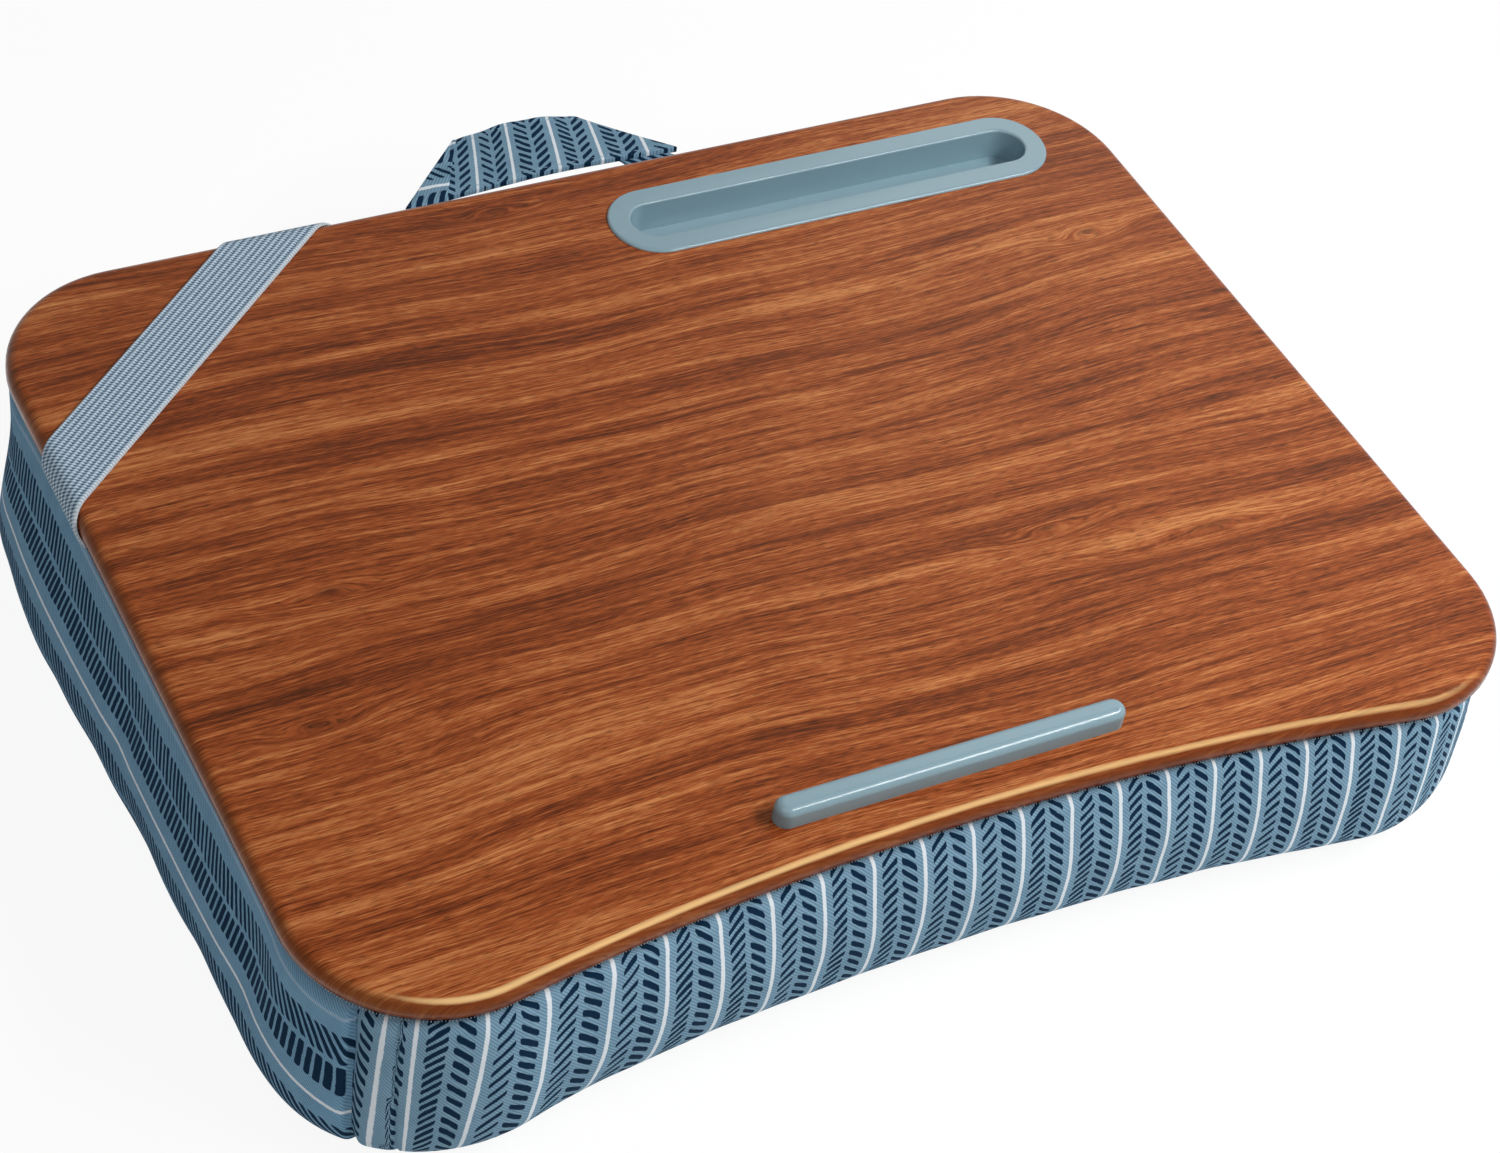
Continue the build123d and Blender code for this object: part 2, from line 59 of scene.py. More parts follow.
def nodeAdder(tree):
    # the function that adds one node to a tree, with its settings; feeds are its inputs, by name or number: a
    # value, a hex colour, a socket, or another node, whose first live output is meant
    def add(kind, feeds=None, **settings):
        node = tree.nodes.new(kind if "Node" in kind else "ShaderNode" + kind)
        for name, value in settings.items():
            setattr(node, name, value)
        for name, value in (feeds or {}).items():
            if isinstance(value, bpy.types.Node):
                value = next(socket for socket in value.outputs if socket.enabled)
            if isinstance(value, bpy.types.NodeSocket):
                tree.links.new(value, node.inputs[name])
            else:
                node.inputs[name].default_value = linearColour(value) if isinstance(value, str) else value
        return node
    return add


def newFinish(name):
    # an empty material, and what adds nodes to it
    finish = bpy.data.materials.new(name)
    finish.use_nodes = True
    finish.node_tree.nodes.clear()
    return finish, nodeAdder(finish.node_tree)


def gridFaces(rows, columns, closed=False):
    # the quads of a grid of points stored row by row; a closed one comes round to its first column
    return [(r * columns + c, (r + 1) * columns + c,
             (r + 1) * columns + (c + 1) % columns, r * columns + (c + 1) % columns)
            for r in range(rows - 1) for c in range(columns if closed else columns - 1)]


def meshPiece(name, points, faces, uv=None, weave=None):
    # points in millimetres; uv and weave hold a pair for each face corner, for the print and for the threads
    data = bpy.data.meshes.new(name)
    data.from_pydata([tuple(p) for p in np.asarray(points) * mm], [], [tuple(f) for f in faces])
    for layerName, places in (("cloth", uv), ("weave", weave)):
        if places is not None:
            layer = data.uv_layers.new(name=layerName)
            layer.data.foreach_set("uv", np.asarray(places, np.float32).ravel())
    data.validate()
    data.shade_smooth()
    data.set_sharp_from_angle(angle=math.radians(55))
    return placed(name, data)


def placed(name, data):
    # an object for the data, linked into the scene
    piece = bpy.data.objects.new(name, data)
    scene.collection.objects.link(piece)
    return piece


def applyModifiers(piece, modifiers):
    # modifiers by type, each with its settings; then the evaluated shape becomes the plain mesh
    for kind, settings in modifiers.items():
        modifier = piece.modifiers.new(kind.lower(), kind)
        for name, value in settings.items():
            setattr(modifier, name, value)
    bpy.context.view_layer.update()
    shaped = piece.evaluated_get(bpy.context.evaluated_depsgraph_get())
    data = bpy.data.meshes.new_from_object(shaped)
    piece.modifiers.clear()
    piece.data = data
    data.name = piece.name
    return piece


def settle(piece, body, finish, slotName, *stoodFor):
    # the finished mesh gets its material, its body and the solids it stands for; slotName is not used
    piece.data.materials.clear()
    piece.data.materials.append(finish)
    if body:
        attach(piece, body)
    if stoodFor:
        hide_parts(*stoodFor)


def mergedCopy(node, name, angle):
    # a CAD solid's loose triangles, merged and shaded smooth up to an edge angle in degrees
    data = nodes[node].data.copy()
    shape = bmesh.new()
    shape.from_mesh(data)
    bmesh.ops.remove_doubles(shape, verts=shape.verts, dist=1e-6)
    bmesh.ops.dissolve_limit(shape, angle_limit=math.radians(0.4), verts=shape.verts, edges=shape.edges)
    for edge in shape.edges:
        edge.smooth = len(edge.link_faces) == 2 and edge.calc_face_angle(0) < math.radians(angle)
    for face in shape.faces:
        face.smooth = True
    shape.to_mesh(data)
    shape.free()
    data.name = name
    # weighted normals keep flat faces flat beside their round edges
    return applyModifiers(placed(name, data), {"WEIGHTED_NORMAL": {"keep_sharp": True}})


# camera, floor and light

camera = {
    "place": (-0.47813, -0.70226, 0.86744),
    "aim": (-0.02313, -0.04264, 0.0765),
    "lens": 79.68, "sensor": 36,
    "lean": -11.02,          # degrees that the camera is rolled
}
forward = (Vector(camera["aim"]) - Vector(camera["place"])).normalized()
level = forward.cross(Vector((0, 0, 1))).normalized()
upright = level.cross(forward)
lean = math.radians(camera["lean"])
up = upright * math.cos(lean) + level * math.sin(lean)
right = level * math.cos(lean) - upright * math.sin(lean)
lens = bpy.data.cameras.new("camera")
lens.lens = camera["lens"]
lens.sensor_width = camera["sensor"]
lens.clip_end = 20
scene.camera = placed("camera", lens)
turn = Matrix((right, up, -forward)).transposed().to_4x4()
scene.camera.matrix_world = Matrix.Translation(camera["place"]) @ turn
scene.view_settings.view_transform = "Standard"

studio = {
    # place, size and watts of a long strip softbox in front of and above the right half, of a weak fill from
    # the left, and of a weaker light from the right rear that glances off the deck
    "key": ((0.62, -0.42, 0.86), (1.0, 0.14), 10.3),
    "fill": ((-1.1, -0.8, 1.55), (1.5, 1.5), 8.0),
    "back": ((1.15, 0.95, 1.2), (0.9, 0.9), 2.6),
    "aim": (0, 0, 0.05),
    "floorSize": 8.0, "paper": "#f6f6f5", "paperGlow": 0.88, "glow": 1.03, "sky": 0.14, "white": (1, 1, 1, 1),
}


def seenByCamera(add):
    # 1 where the camera sees the backdrop, straight or in something shiny or clear; 0 for the light it throws
    path = add("LightPath").outputs
    mirrored = add("Math", {0: path["Is Glossy Ray"], 1: path["Is Transmission Ray"]}, operation="MAXIMUM")
    return add("Math", {0: path["Is Camera Ray"], 1: mirrored}, operation="MAXIMUM")


floorData = bpy.data.meshes.new("floor")
half = studio["floorSize"] / 2
corners = [(-half, -half, 0), (half, -half, 0), (half, half, 0), (-half, half, 0)]
floorData.from_pydata(corners, [], [(0, 1, 2, 3)])
floor = placed("floor", floorData)
paper, add = newFinish("whiteBackdropPaper")
matt = add("BsdfPrincipled", {"Base Color": studio["paper"], "Roughness": 0.9})
glow = add("Emission", {"Color": studio["white"], "Strength": studio["glow"]})
share = add("Math", {0: seenByCamera(add), 1: studio["paperGlow"]}, operation="MULTIPLY")
mixed = add("MixShader", {0: share, 1: matt, 2: glow})
add("OutputMaterial", {"Surface": mixed})
floorData.materials.append(paper)

world = bpy.data.worlds.new("studio")
scene.world = world
world.use_nodes = True
world.node_tree.nodes.clear()
add = nodeAdder(world.node_tree)
dim = add("Background", {"Color": studio["white"], "Strength": studio["sky"]})
white = add("Background", {"Color": studio["white"], "Strength": 1.0})
mixed = add("MixShader", {0: seenByCamera(add), 1: dim, 2: white})
add("OutputWorld", {"Surface": mixed})

for name in ("key", "fill", "back"):
    place, size, watts = studio[name]
    lamp = bpy.data.lights.new(name, "AREA")
    lamp.shape = "RECTANGLE"
    lamp.size, lamp.size_y = size
    lamp.energy = watts
    lampObject = placed(name, lamp)
    lampObject.location = place
    lampObject.rotation_euler = (Vector(studio["aim"]) - Vector(place)).to_track_quat("-Z", "Y").to_euler()
print("camera, floor and light are set")


# finishes

wood = {
    # walnut-print laminate, pressed and clear-coated: brown streaks, a warm tinted specular shine, and a
    # painted highlight along the front nose
    "dark": "#3b1409", "brown": "#6e2d14", "mid": "#9f4e26", "light": "#d08650", "pore": "#2e1206",
    # on the next line, edge is the even brown of faces turned from level, and the colour after it is a
    # painted highlight
    "edge": "#6f3317", "paintedHighlight": "#ffd494", "shine": "#ffe596",
    "ramp": ((0.38, "dark"), (0.455, "brown"), (0.525, "mid"), (0.62, "light")),
    "sway": (4.2, 9, 9), "wander": 34.0,      # turns to the metre and reach of the grain's slow sway
    "layers": (          # size along the grain and across it, turn in degrees, detail, share
        (330.0, 13.0, 0.0, 3, 0.34), (80.0, 2.3, 0.0, 4, 0.25), (24.0, 0.75, 0.0, 2, 0.22),
        (7.0, 0.5, 0.0, 1, 0.17), (3.4, 0.5, 12.0, 1, 0.05),
    ),
    "poreLength": 6.0, "poreWidth": 0.46, "poreShare": 0.55,
    "knots": (           # middle, how far the grain swirls along and across, how strongly
        (-159.0, -2.0, 26.0, 7.0, 0.45), (-28.0, 162.0, 20.0, 5.0, 0.7), (146.0, -74.0, 44.0, 7.0, 0.5),
        (88.0, -56.0, 20.0, 5.0, 0.6), (-186.0, -56.0, 15.0, 4.5, 0.75), (187.0, 82.0, 17.0, 6.0, 0.75),
    ),
    # how far a face has turned from level for the edge's brown, and the way a face looks where the painted
    # highlight on the front nose is strongest
    "edgeTurn": (0.97, 0.6), "edgeShare": 0.7, "paintedHighlightWay": (-0.05, -0.5, 0.86), "paintedHighlightTurn": (0.945, 1.002),
    "paintedHighlightFrom": (-190.0, 0.92), "paintedHighlightTo": (200.0, 0.26),      # place from left to right, and the painted highlight's share there
    "gloss": (0.27, 0.22),
}


def walnutLaminate():
    finish, add = newFinish("walnutLaminate")
    coords = add("TexCoord").outputs["Object"]
    apart = add("SeparateXYZ", {0: coords}).outputs
    # the grain runs along X and wanders by up to 20 mm
    drift = add("Mapping", {"Vector": coords, "Scale": wood["sway"]})
    sway = add("TexNoise", {"Vector": drift, "Scale": 1.0, "Detail": 2.0, "Roughness": 0.4})
    lift = add("Math", {0: sway, 1: wood["wander"] * mm}, operation="MULTIPLY")
    across, eye = apart[1], 0.0
    for x, y, long, wide, strength in wood["knots"]:
        # round a knot the grain closes into rings
        near = add("Mapping", {"Vector": coords, "Location": (-x / long, -y / wide, 0),
                               "Scale": (1 / (long * mm), 1 / (wide * mm), 0)})
        ring = add("VectorMath", {0: near}, operation="LENGTH")
        hold = add("MapRange", {0: ring, 1: 0.2, 2: 1.8, 3: strength, 4: 0.0},
                   interpolation_type="SMOOTHERSTEP")
        curved = add("Math", {0: ring, 1: wide * mm, 2: y * mm}, operation="MULTIPLY_ADD")
        across = add("Mix", {0: hold, 2: across, 3: curved})
        core = add("MapRange", {0: ring, 1: 0.05, 2: 0.32, 3: strength - 0.1, 4: 0.0},
                   interpolation_type="SMOOTHSTEP")
        eye = add("Math", {0: eye, 1: core}, operation="MAXIMUM")
    level = add("Math", {0: across, 1: lift}, operation="ADD")
    grain = add("CombineXYZ", {0: apart[0], 1: level})
    streaks = 0.0
    for long, wide, turned, detail, share in wood["layers"]:
        slant = add("Mapping", {"Vector": grain, "Rotation": (0, 0, -math.radians(turned))})
        place = add("Mapping",
                    {"Vector": slant, "Scale": (1 / (long * mm), 1 / (wide * mm), 1 / (wide * mm))})
        layer = add("TexNoise", {"Vector": place, "Scale": 1.0, "Detail": detail, "Roughness": 0.6})
        streaks = add("Math", {0: layer, 1: share, 2: streaks}, operation="MULTIPLY_ADD")
    ramp = add("ValToRGB", {0: streaks})
    stops = ramp.color_ramp.elements
    for position, _ in wood["ramp"][1:-1]:
        stops.new(position)
    for stop, (position, colour) in zip(stops, wood["ramp"]):
        stop.position = position
        stop.color = linearColour(wood[colour])
    # closed pores: thin dark dashes along the grain
    slim = 1 / (wood["poreWidth"] * mm)
    short = add("Mapping", {"Vector": grain, "Scale": (1 / (wood["poreLength"] * mm), slim, slim)})
    pores = add("TexNoise", {"Vector": short, "Scale": 1.0, "Detail": 1.0})
    pit = add("MapRange", {0: pores, 1: 0.58, 2: 0.70, 3: 0.0, 4: wood["poreShare"]},
              interpolation_type="SMOOTHSTEP")
    mark = add("Math", {0: pit, 1: eye}, operation="MAXIMUM")
    marked = add("Mix", {0: mark, 6: ramp, 7: wood["pore"]}, data_type="RGBA")
    # faces turned from level get an even darker brown; along the front nose a light golden band is a painted
    # highlight, strongest at the left and weaker to the right
    facing = add("NewGeometry").outputs["Normal"]
    upward = add("SeparateXYZ", {0: facing}).outputs[2]
    turned = add("MapRange", {0: upward, 1: wood["edgeTurn"][0], 2: wood["edgeTurn"][1], 3: 0.0,
                              4: wood["edgeShare"]}, interpolation_type="SMOOTHSTEP")
    edged = add("Mix", {0: turned, 6: marked, 7: wood["edge"]}, data_type="RGBA")
    # painted highlight: faces turned towards the key lamp's mirror way get a light golden colour, weaker to
    # the right
    paintedHighlight = add("VectorMath", {0: facing, 1: wood["paintedHighlightWay"]}, operation="DOT_PRODUCT")
    paintedHighlightFade = add("MapRange", {0: apart[0], 1: wood["paintedHighlightFrom"][0] * mm, 2: wood["paintedHighlightTo"][0] * mm,
                              3: wood["paintedHighlightFrom"][1], 4: wood["paintedHighlightTo"][1]})
    paintedHighlightShare = add("MapRange", {0: paintedHighlight, 1: wood["paintedHighlightTurn"][0], 2: wood["paintedHighlightTurn"][1], 3: 0.0, 4: paintedHighlightFade},
               interpolation_type="SMOOTHSTEP")
    colour = add("Mix", {0: paintedHighlightShare, 6: edged, 7: wood["paintedHighlight"]}, data_type="RGBA")
    gloss = add("MapRange", {0: streaks, 1: 0.35, 2: 0.7, 3: wood["gloss"][0], 4: wood["gloss"][1]})
    height = add("Math", {0: streaks, 1: mark}, operation="SUBTRACT")
    bump = add("Bump", {"Strength": 0.08, "Distance": 0.2 * mm, "Height": height})
    shader = add("BsdfPrincipled", {"Base Color": colour, "Roughness": gloss, "Normal": bump,
                                    "Specular IOR Level": 0.17, "Specular Tint": wood["shine"]})
    add("OutputMaterial", {"Surface": shader})
    return finish


def mouldedAbs():
    # injection-moulded ABS with a fine spark-eroded grain: one even blue-grey and a soft highlight
    finish, add = newFinish("mouldedBlueGreyAbs")
    coords = add("TexCoord").outputs["Object"]
    grit = add("TexNoise", {"Vector": coords, "Scale": 3200.0, "Detail": 2.0})
    tone = add("TexNoise", {"Vector": coords, "Scale": 24.0, "Detail": 2.0})
    colour = add("Mix", {0: tone, 6: "#819eaa", 7: "#88a6b1"}, data_type="RGBA")
    gloss = add("MapRange", {0: grit, 3: 0.15, 4: 0.22})
    bump = add("Bump", {"Strength": 0.15, "Distance": 0.1 * mm, "Height": grit})
    shader = add("BsdfPrincipled", {"Base Color": colour, "Roughness": gloss, "Normal": bump, "IOR": 1.5})
    add("OutputMaterial", {"Surface": shader})
    return finish


motif = {
    # all in millimetres on the cloth: a stripe holds a white line and two leaning columns of cut dashes, thin
    # ones on the line's right and thick ones on its left
    "stripe": 18.85, "lineHalf": 0.68, "columnPlace": 5.8, "dashAcross": 5.5, "thin": 1.5, "thick": 1.9,
    "rounding": 0.62, "blunting": 0.24,      # the radius of a dash's ends, and what a thick dash has more
    "pitch": 4.75, "crowding": 0.085, "rise": 0.86, "curl": 0.09, "tilt": 0.2, "waver": 0.45,
    "twill": 1.0,      # cotton twill has ribs 0.5 mm apart; they are drawn this coarse to show
    "firstLineLit": 1.0,  # how much of the first white line shows; below 1 it is dimmed as painted shade under the deck's edge
    "ground": "#93b6cb", "groundDeep": "#4d708b", "ink": "#06263f", "white": "#e8eff5",
}
# the same print drawn larger, as it lies on the side gussets, with its first white line dimmed as painted
# shade under the deck's edge
sideMotif = dict(motif, stripe=31.0, lineHalf=0.55, columnPlace=10.3, dashAcross=8.9, thin=1.65, thick=1.95,
                 rounding=0.55, pitch=3.1, crowding=0.03, rise=0.36, curl=0.015, tilt=0.05, firstLineLit=0.2,
                 ground="#90b9d4", groundDeep="#4a7594")


def printedTwill(name, motif):
    # piece-dyed cotton twill with a two-colour screen print: matt, fine slanted ribs, hand-cut dashes
    finish, add = newFinish(name)
    cloth = add("UVMap", uv_map="cloth")
    threads = add("UVMap", uv_map="weave")
    waver = add("TexNoise", {"Vector": cloth, "Scale": 0.5, "Detail": 2.0}).outputs[1]
    hand = add("VectorMath", {0: waver, 1: (motif["waver"],) * 3, 2: cloth}, operation="MULTIPLY_ADD")
    place = add("SeparateXYZ", {0: hand}).outputs
    halfStripe = motif["stripe"] / 2
    fromLine = add("Math", {0: place[0], 1: halfStripe}, operation="PINGPONG")
    inLine = add("MapRange", {0: fromLine, 1: motif["lineHalf"] + 0.14, 2: motif["lineHalf"] - 0.14},
                 interpolation_type="SMOOTHSTEP")
    # painted shade: near the first white line its strength drops to the motif's share for that line
    strength = add("MapRange", {0: place[0], 1: 5.0, 2: 20.0, 3: motif["firstLineLit"], 4: 1.0})
    line = add("Math", {0: inLine, 1: strength}, operation="MULTIPLY")
    # each column of dashes starts at its own height and has its own pitch; rows climb away from the line
    columnRaw = add("Math", {0: place[0], 1: halfStripe}, operation="DIVIDE")
    column = add("Math", {0: columnRaw}, operation="FLOOR")
    thick = add("Math", {0: column, 1: 2.0}, operation="FLOORED_MODULO")
    phase = add("TexWhiteNoise", {"W": column}, noise_dimensions="1D").outputs
    luck = add("SeparateColor", {0: phase[1]}).outputs[1]
    crowd = add("Math", {0: thick, 1: -0.8 * motif["crowding"], 2: motif["crowding"]},
                operation="MULTIPLY_ADD")
    rate = add("Math", {0: crowd, 1: luck, 2: 1 / motif["pitch"]}, operation="MULTIPLY_ADD")
    climb = add("Math", {0: fromLine, 1: -motif["rise"], 2: place[1]}, operation="MULTIPLY_ADD")
    row = add("Math", {0: climb, 1: rate, 2: phase[0]}, operation="MULTIPLY_ADD")
    rowNumber = add("Math", {0: row}, operation="FLOOR")
    rowPart = add("Math", {0: row}, operation="FRACT")
    # three draws for each dash: how it curls and how broad it is, how it tilts, how long it is
    key = add("CombineXYZ", {0: column, 1: rowNumber})
    chance = add("TexWhiteNoise", {"Vector": key}, noise_dimensions="3D").outputs[1]
    draw = add("SeparateColor", {0: chance}).outputs
    slope = math.atan(motif["rise"])
    centred = add("Math", {0: rowPart, 1: 0.5}, operation="SUBTRACT")
    offset = add("Math", {0: centred, 1: rate}, operation="DIVIDE")
    run = add("Math", {0: fromLine, 1: motif["columnPlace"]}, operation="SUBTRACT")
    curl = add("Math", {0: draw[0], 1: motif["curl"], 2: -motif["curl"] * 0.35}, operation="MULTIPLY_ADD")
    tilt = add("Math", {0: draw[1], 1: motif["tilt"], 2: -motif["tilt"] / 2}, operation="MULTIPLY_ADD")
    bend = add("Math", {0: run, 1: curl, 2: tilt}, operation="MULTIPLY_ADD")
    upright = add("Math", {0: run, 1: bend, 2: offset}, operation="MULTIPLY_ADD")
    apart = add("Math", {0: upright, 1: math.cos(slope)}, operation="MULTIPLY")
    length = add("Math", {0: run, 1: 1 / math.cos(slope)}, operation="MULTIPLY")
    spot = add("CombineXYZ", {0: length, 1: apart})
    # a dash is a box of half this length and width, rounded off; a thick one has blunter ends
    reach = motif["dashAcross"] / 2 / math.cos(slope) - motif["rounding"]
    blunt = add("Math", {0: thick, 1: motif["blunting"]}, operation="MULTIPLY")
    farthest = add("Math", {0: reach - 0.4, 1: blunt}, operation="SUBTRACT")
    reached = add("Math", {0: draw[2], 1: 0.8, 2: farthest}, operation="MULTIPLY_ADD")
    body = add("Math", {0: thick, 1: (motif["thick"] - motif["thin"]) / 2 - motif["blunting"],
                        2: motif["thin"] / 2 - motif["rounding"] - 0.1}, operation="MULTIPLY_ADD")
    wide = add("Math", {0: draw[0], 1: 0.2, 2: body}, operation="MULTIPLY_ADD")
    core = add("CombineXYZ", {0: reached, 1: wide})
    size = add("VectorMath", {0: spot}, operation="ABSOLUTE")
    beyond = add("VectorMath", {0: size, 1: core}, operation="SUBTRACT")
    outside = add("VectorMath", {0: beyond, 1: (0, 0, 0)}, operation="MAXIMUM")
    distance = add("VectorMath", {0: outside}, operation="LENGTH")
    edge = add("Math", {0: distance, 1: blunt}, operation="SUBTRACT")
    dash = add("MapRange", {0: edge, 1: motif["rounding"] + 0.12, 2: motif["rounding"] - 0.12},
               interpolation_type="SMOOTHSTEP")
    # the weave: slanted ribs crossed by finer threads, a little uneven
    turnsPerMm = 2 * math.pi / motif["twill"]
    slant = add("VectorMath", {0: threads, 1: (0.707, 0.707, 0)}, operation="DOT_PRODUCT")
    turns = add("Math", {0: slant, 1: turnsPerMm}, operation="MULTIPLY")
    rib = add("Math", {0: turns}, operation="SINE")
    cross = add("VectorMath", {0: threads, 1: (0.707, -0.707, 0)}, operation="DOT_PRODUCT")
    crossTurns = add("Math", {0: cross, 1: turnsPerMm * 1.6}, operation="MULTIPLY")
    thread = add("Math", {0: crossTurns}, operation="SINE")
    woven = add("Math", {0: thread, 1: 0.35, 2: rib}, operation="MULTIPLY_ADD")
    weave = add("MapRange", {0: woven, 1: -1.35, 2: 1.35, 3: 0.0, 4: 0.7})
    slub = add("TexNoise", {"Vector": threads, "Scale": 0.12, "Detail": 3.0})
    tone = add("Math", {0: slub, 1: 0.4, 2: weave}, operation="MULTIPLY_ADD")
    ground = add("Mix", {0: tone, 6: motif["groundDeep"], 7: motif["ground"]}, data_type="RGBA")
    inked = add("Mix", {0: dash, 6: ground, 7: motif["ink"]}, data_type="RGBA")
    colour = add("Mix", {0: line, 6: inked, 7: motif["white"]}, data_type="RGBA")
    bump = add("Bump", {"Strength": 0.45, "Distance": 0.2 * mm, "Height": weave})
    shader = add("BsdfPrincipled",
                 {"Base Color": colour, "Roughness": 0.9, "Normal": bump, "Specular IOR Level": 0.12})
    add("OutputMaterial", {"Surface": shader})
    return finish


def dyedTwill():
    # the same cotton twill without its print, for the handle's ends under the board
    finish, add = newFinish("dyedCottonTwill")
    coords = add("TexCoord").outputs["Object"]
    ribs = add("TexWave", {"Vector": coords, "Scale": 160.0, "Distortion": 0.6},
               bands_direction="DIAGONAL").outputs[1]
    colour = add("Mix", {0: ribs, 6: motif["groundDeep"], 7: motif["ground"]}, data_type="RGBA")
    bump = add("Bump", {"Strength": 0.4, "Distance": 0.2 * mm, "Height": ribs})
    shader = add("BsdfPrincipled", {"Base Color": colour, "Roughness": 0.92, "Normal": bump})
    add("OutputMaterial", {"Surface": shader})
    return finish


elastic = {
    "width": 25.6, "thick": 1.2, "angle": 40.8,
    "near": 191.8,       # from the deck's middle to the strap's nearer edge
    "noseLeft": -221.0, "noseRear": 170.5, "noseMiddle": 71.75, "noseRadius": 5.65, "tail": 12.0,
    "flatSteps": 26, "noseSteps": 15, "tailSteps": 3,
    "heldShare": 0.12, "stretchHeight": 77.0,      # where the part that stretches begins, and its height
    "ribPitch": 2.13, "ribHeight": 0.34, "perRib": 6, "edgeRound": 0.5,
    # the knit has 1.4 stitches to the millimetre, drawn this far apart to show; they slant over a cord
    "stitch": 1.3, "slant": 0.3,
    "groove": "#4b667e", "cord": "#d4e8f8", "selvedge": "#dfe4e6",
}


def knittedElastic():
    # flat ribbed elastic, polyester knitted over rubber: light cords, shadowed grooves, fine cross threads
    finish, add = newFinish("ribbedKnitElastic")
    cloth = add("UVMap", uv_map="cloth")
    place = add("SeparateXYZ", {0: cloth}).outputs
    acrossTurns = add("Math", {0: place[0], 1: 2 * math.pi / elastic["ribPitch"]}, operation="MULTIPLY")
    cords = add("Math", {0: acrossTurns}, operation="COSINE")
    slanted = add("Math", {0: acrossTurns, 1: elastic["slant"]}, operation="MULTIPLY")
    alongTurns = add("Math", {0: place[1], 1: 2 * math.pi / elastic["stitch"], 2: slanted},
                     operation="MULTIPLY_ADD")
    stitches = add("Math", {0: alongTurns}, operation="SINE")
    fuzz = add("TexNoise", {"Vector": cloth, "Scale": 1.4, "Detail": 3.0, "Roughness": 0.7})
    knit = add("Math", {0: stitches, 1: 0.42, 2: fuzz}, operation="MULTIPLY_ADD")
    tone = add("Math", {0: cords, 1: -0.40, 2: knit}, operation="MULTIPLY_ADD")
    shade = add("Mix", {0: tone, 6: elastic["groove"], 7: elastic["cord"]}, data_type="RGBA")
    edge = add("MapRange", {0: place[0], 1: 1.0, 2: 0.4, 3: 0.0, 4: 0.6})
    colour = add("Mix", {0: edge, 6: shade, 7: elastic["selvedge"]}, data_type="RGBA")
    bump = add("Bump", {"Strength": 0.6, "Distance": 0.2 * mm, "Height": knit})
    shader = add("BsdfPrincipled",
                 {"Base Color": colour, "Roughness": 0.85, "Normal": bump, "Specular IOR Level": 0.15})
    add("OutputMaterial", {"Surface": shader})
    return finish


def needledFelt():
    # needle-punched polyester felt: dull grey, a mat of loose fibres
    finish, add = newFinish("needledGreyFelt")
    coords = add("TexCoord").outputs["Object"]
    fibre = add("TexNoise", {"Vector": coords, "Scale": 1500.0, "Detail": 4.0, "Distortion": 1.5})
    colour = add("Mix", {0: fibre, 6: "#3f4347", 7: "#696d71"}, data_type="RGBA")
    bump = add("Bump", {"Strength": 0.7, "Distance": 0.3 * mm, "Height": fibre})
    shader = add("BsdfPrincipled", {"Base Color": colour, "Roughness": 0.95, "Normal": bump})
    add("OutputMaterial", {"Surface": shader})
    return finish


def foamedBeads():
    # expanded polystyrene beads, 3 to 4 mm: white and packed, the darker gaps between them painted shade
    finish, add = newFinish("expandedPolystyreneBeads")
    coords = add("TexCoord").outputs["Object"]
    cells = add("TexVoronoi", {"Vector": coords, "Scale": 280.0})
    colour = add("Mix", {0: cells, 6: "#f2f2ee", 7: "#a9a9a4"}, data_type="RGBA")
    bump = add("Bump", {"Strength": 1.0, "Distance": 2 * mm, "Height": cells}, invert=True)
    shader = add("BsdfPrincipled", {"Base Color": colour, "Roughness": 0.7, "Normal": bump})
    add("OutputMaterial", {"Surface": shader})
    return finish


def zincWire():
    # zinc-plated steel: cool grey metal with fine drawing lines
    finish, add = newFinish("zincPlatedSteel")
    coords = add("TexCoord").outputs["Object"]
    drawn = add("TexNoise", {"Vector": coords, "Scale": 900.0, "Detail": 3.0})
    colour = add("Mix", {0: drawn, 6: "#a8aaad", 7: "#c9cbce"}, data_type="RGBA")
    gloss = add("MapRange", {0: drawn, 3: 0.28, 4: 0.45})
    shader = add("BsdfPrincipled", {"Base Color": colour, "Roughness": gloss, "Metallic": 1.0})
    add("OutputMaterial", {"Surface": shader})
    return finish


def spunThread(name, shadow, light):
    # spun polyester thread: dull, a little uneven along the twist
    finish, add = newFinish(name)
    coords = add("TexCoord").outputs["Object"]
    twist = add("TexNoise", {"Vector": coords, "Scale": 2500.0})
    colour = add("Mix", {0: twist, 6: shadow, 7: light}, data_type="RGBA")
    shader = add("BsdfPrincipled", {"Base Color": colour, "Roughness": 0.75})
    add("OutputMaterial", {"Surface": shader})
    return finish


walnut = walnutLaminate()
plastic = mouldedAbs()
twill = printedTwill("printedCottonTwill", motif)
sideTwill = printedTwill("printedCottonTwillSides", sideMotif)
plainTwill = dyedTwill()
ribbed = knittedElastic()
felt = needledFelt()
beads = foamedBeads()
zinc = zincWire()
thread = spunThread("spunOffWhiteThread", "#b9bcbf", "#e8e9ea")
blueThread = spunThread("spunBlueThread", "#6f93ab", "#a9c4d6")
print("finishes are made")


# deck, bezel and ledge

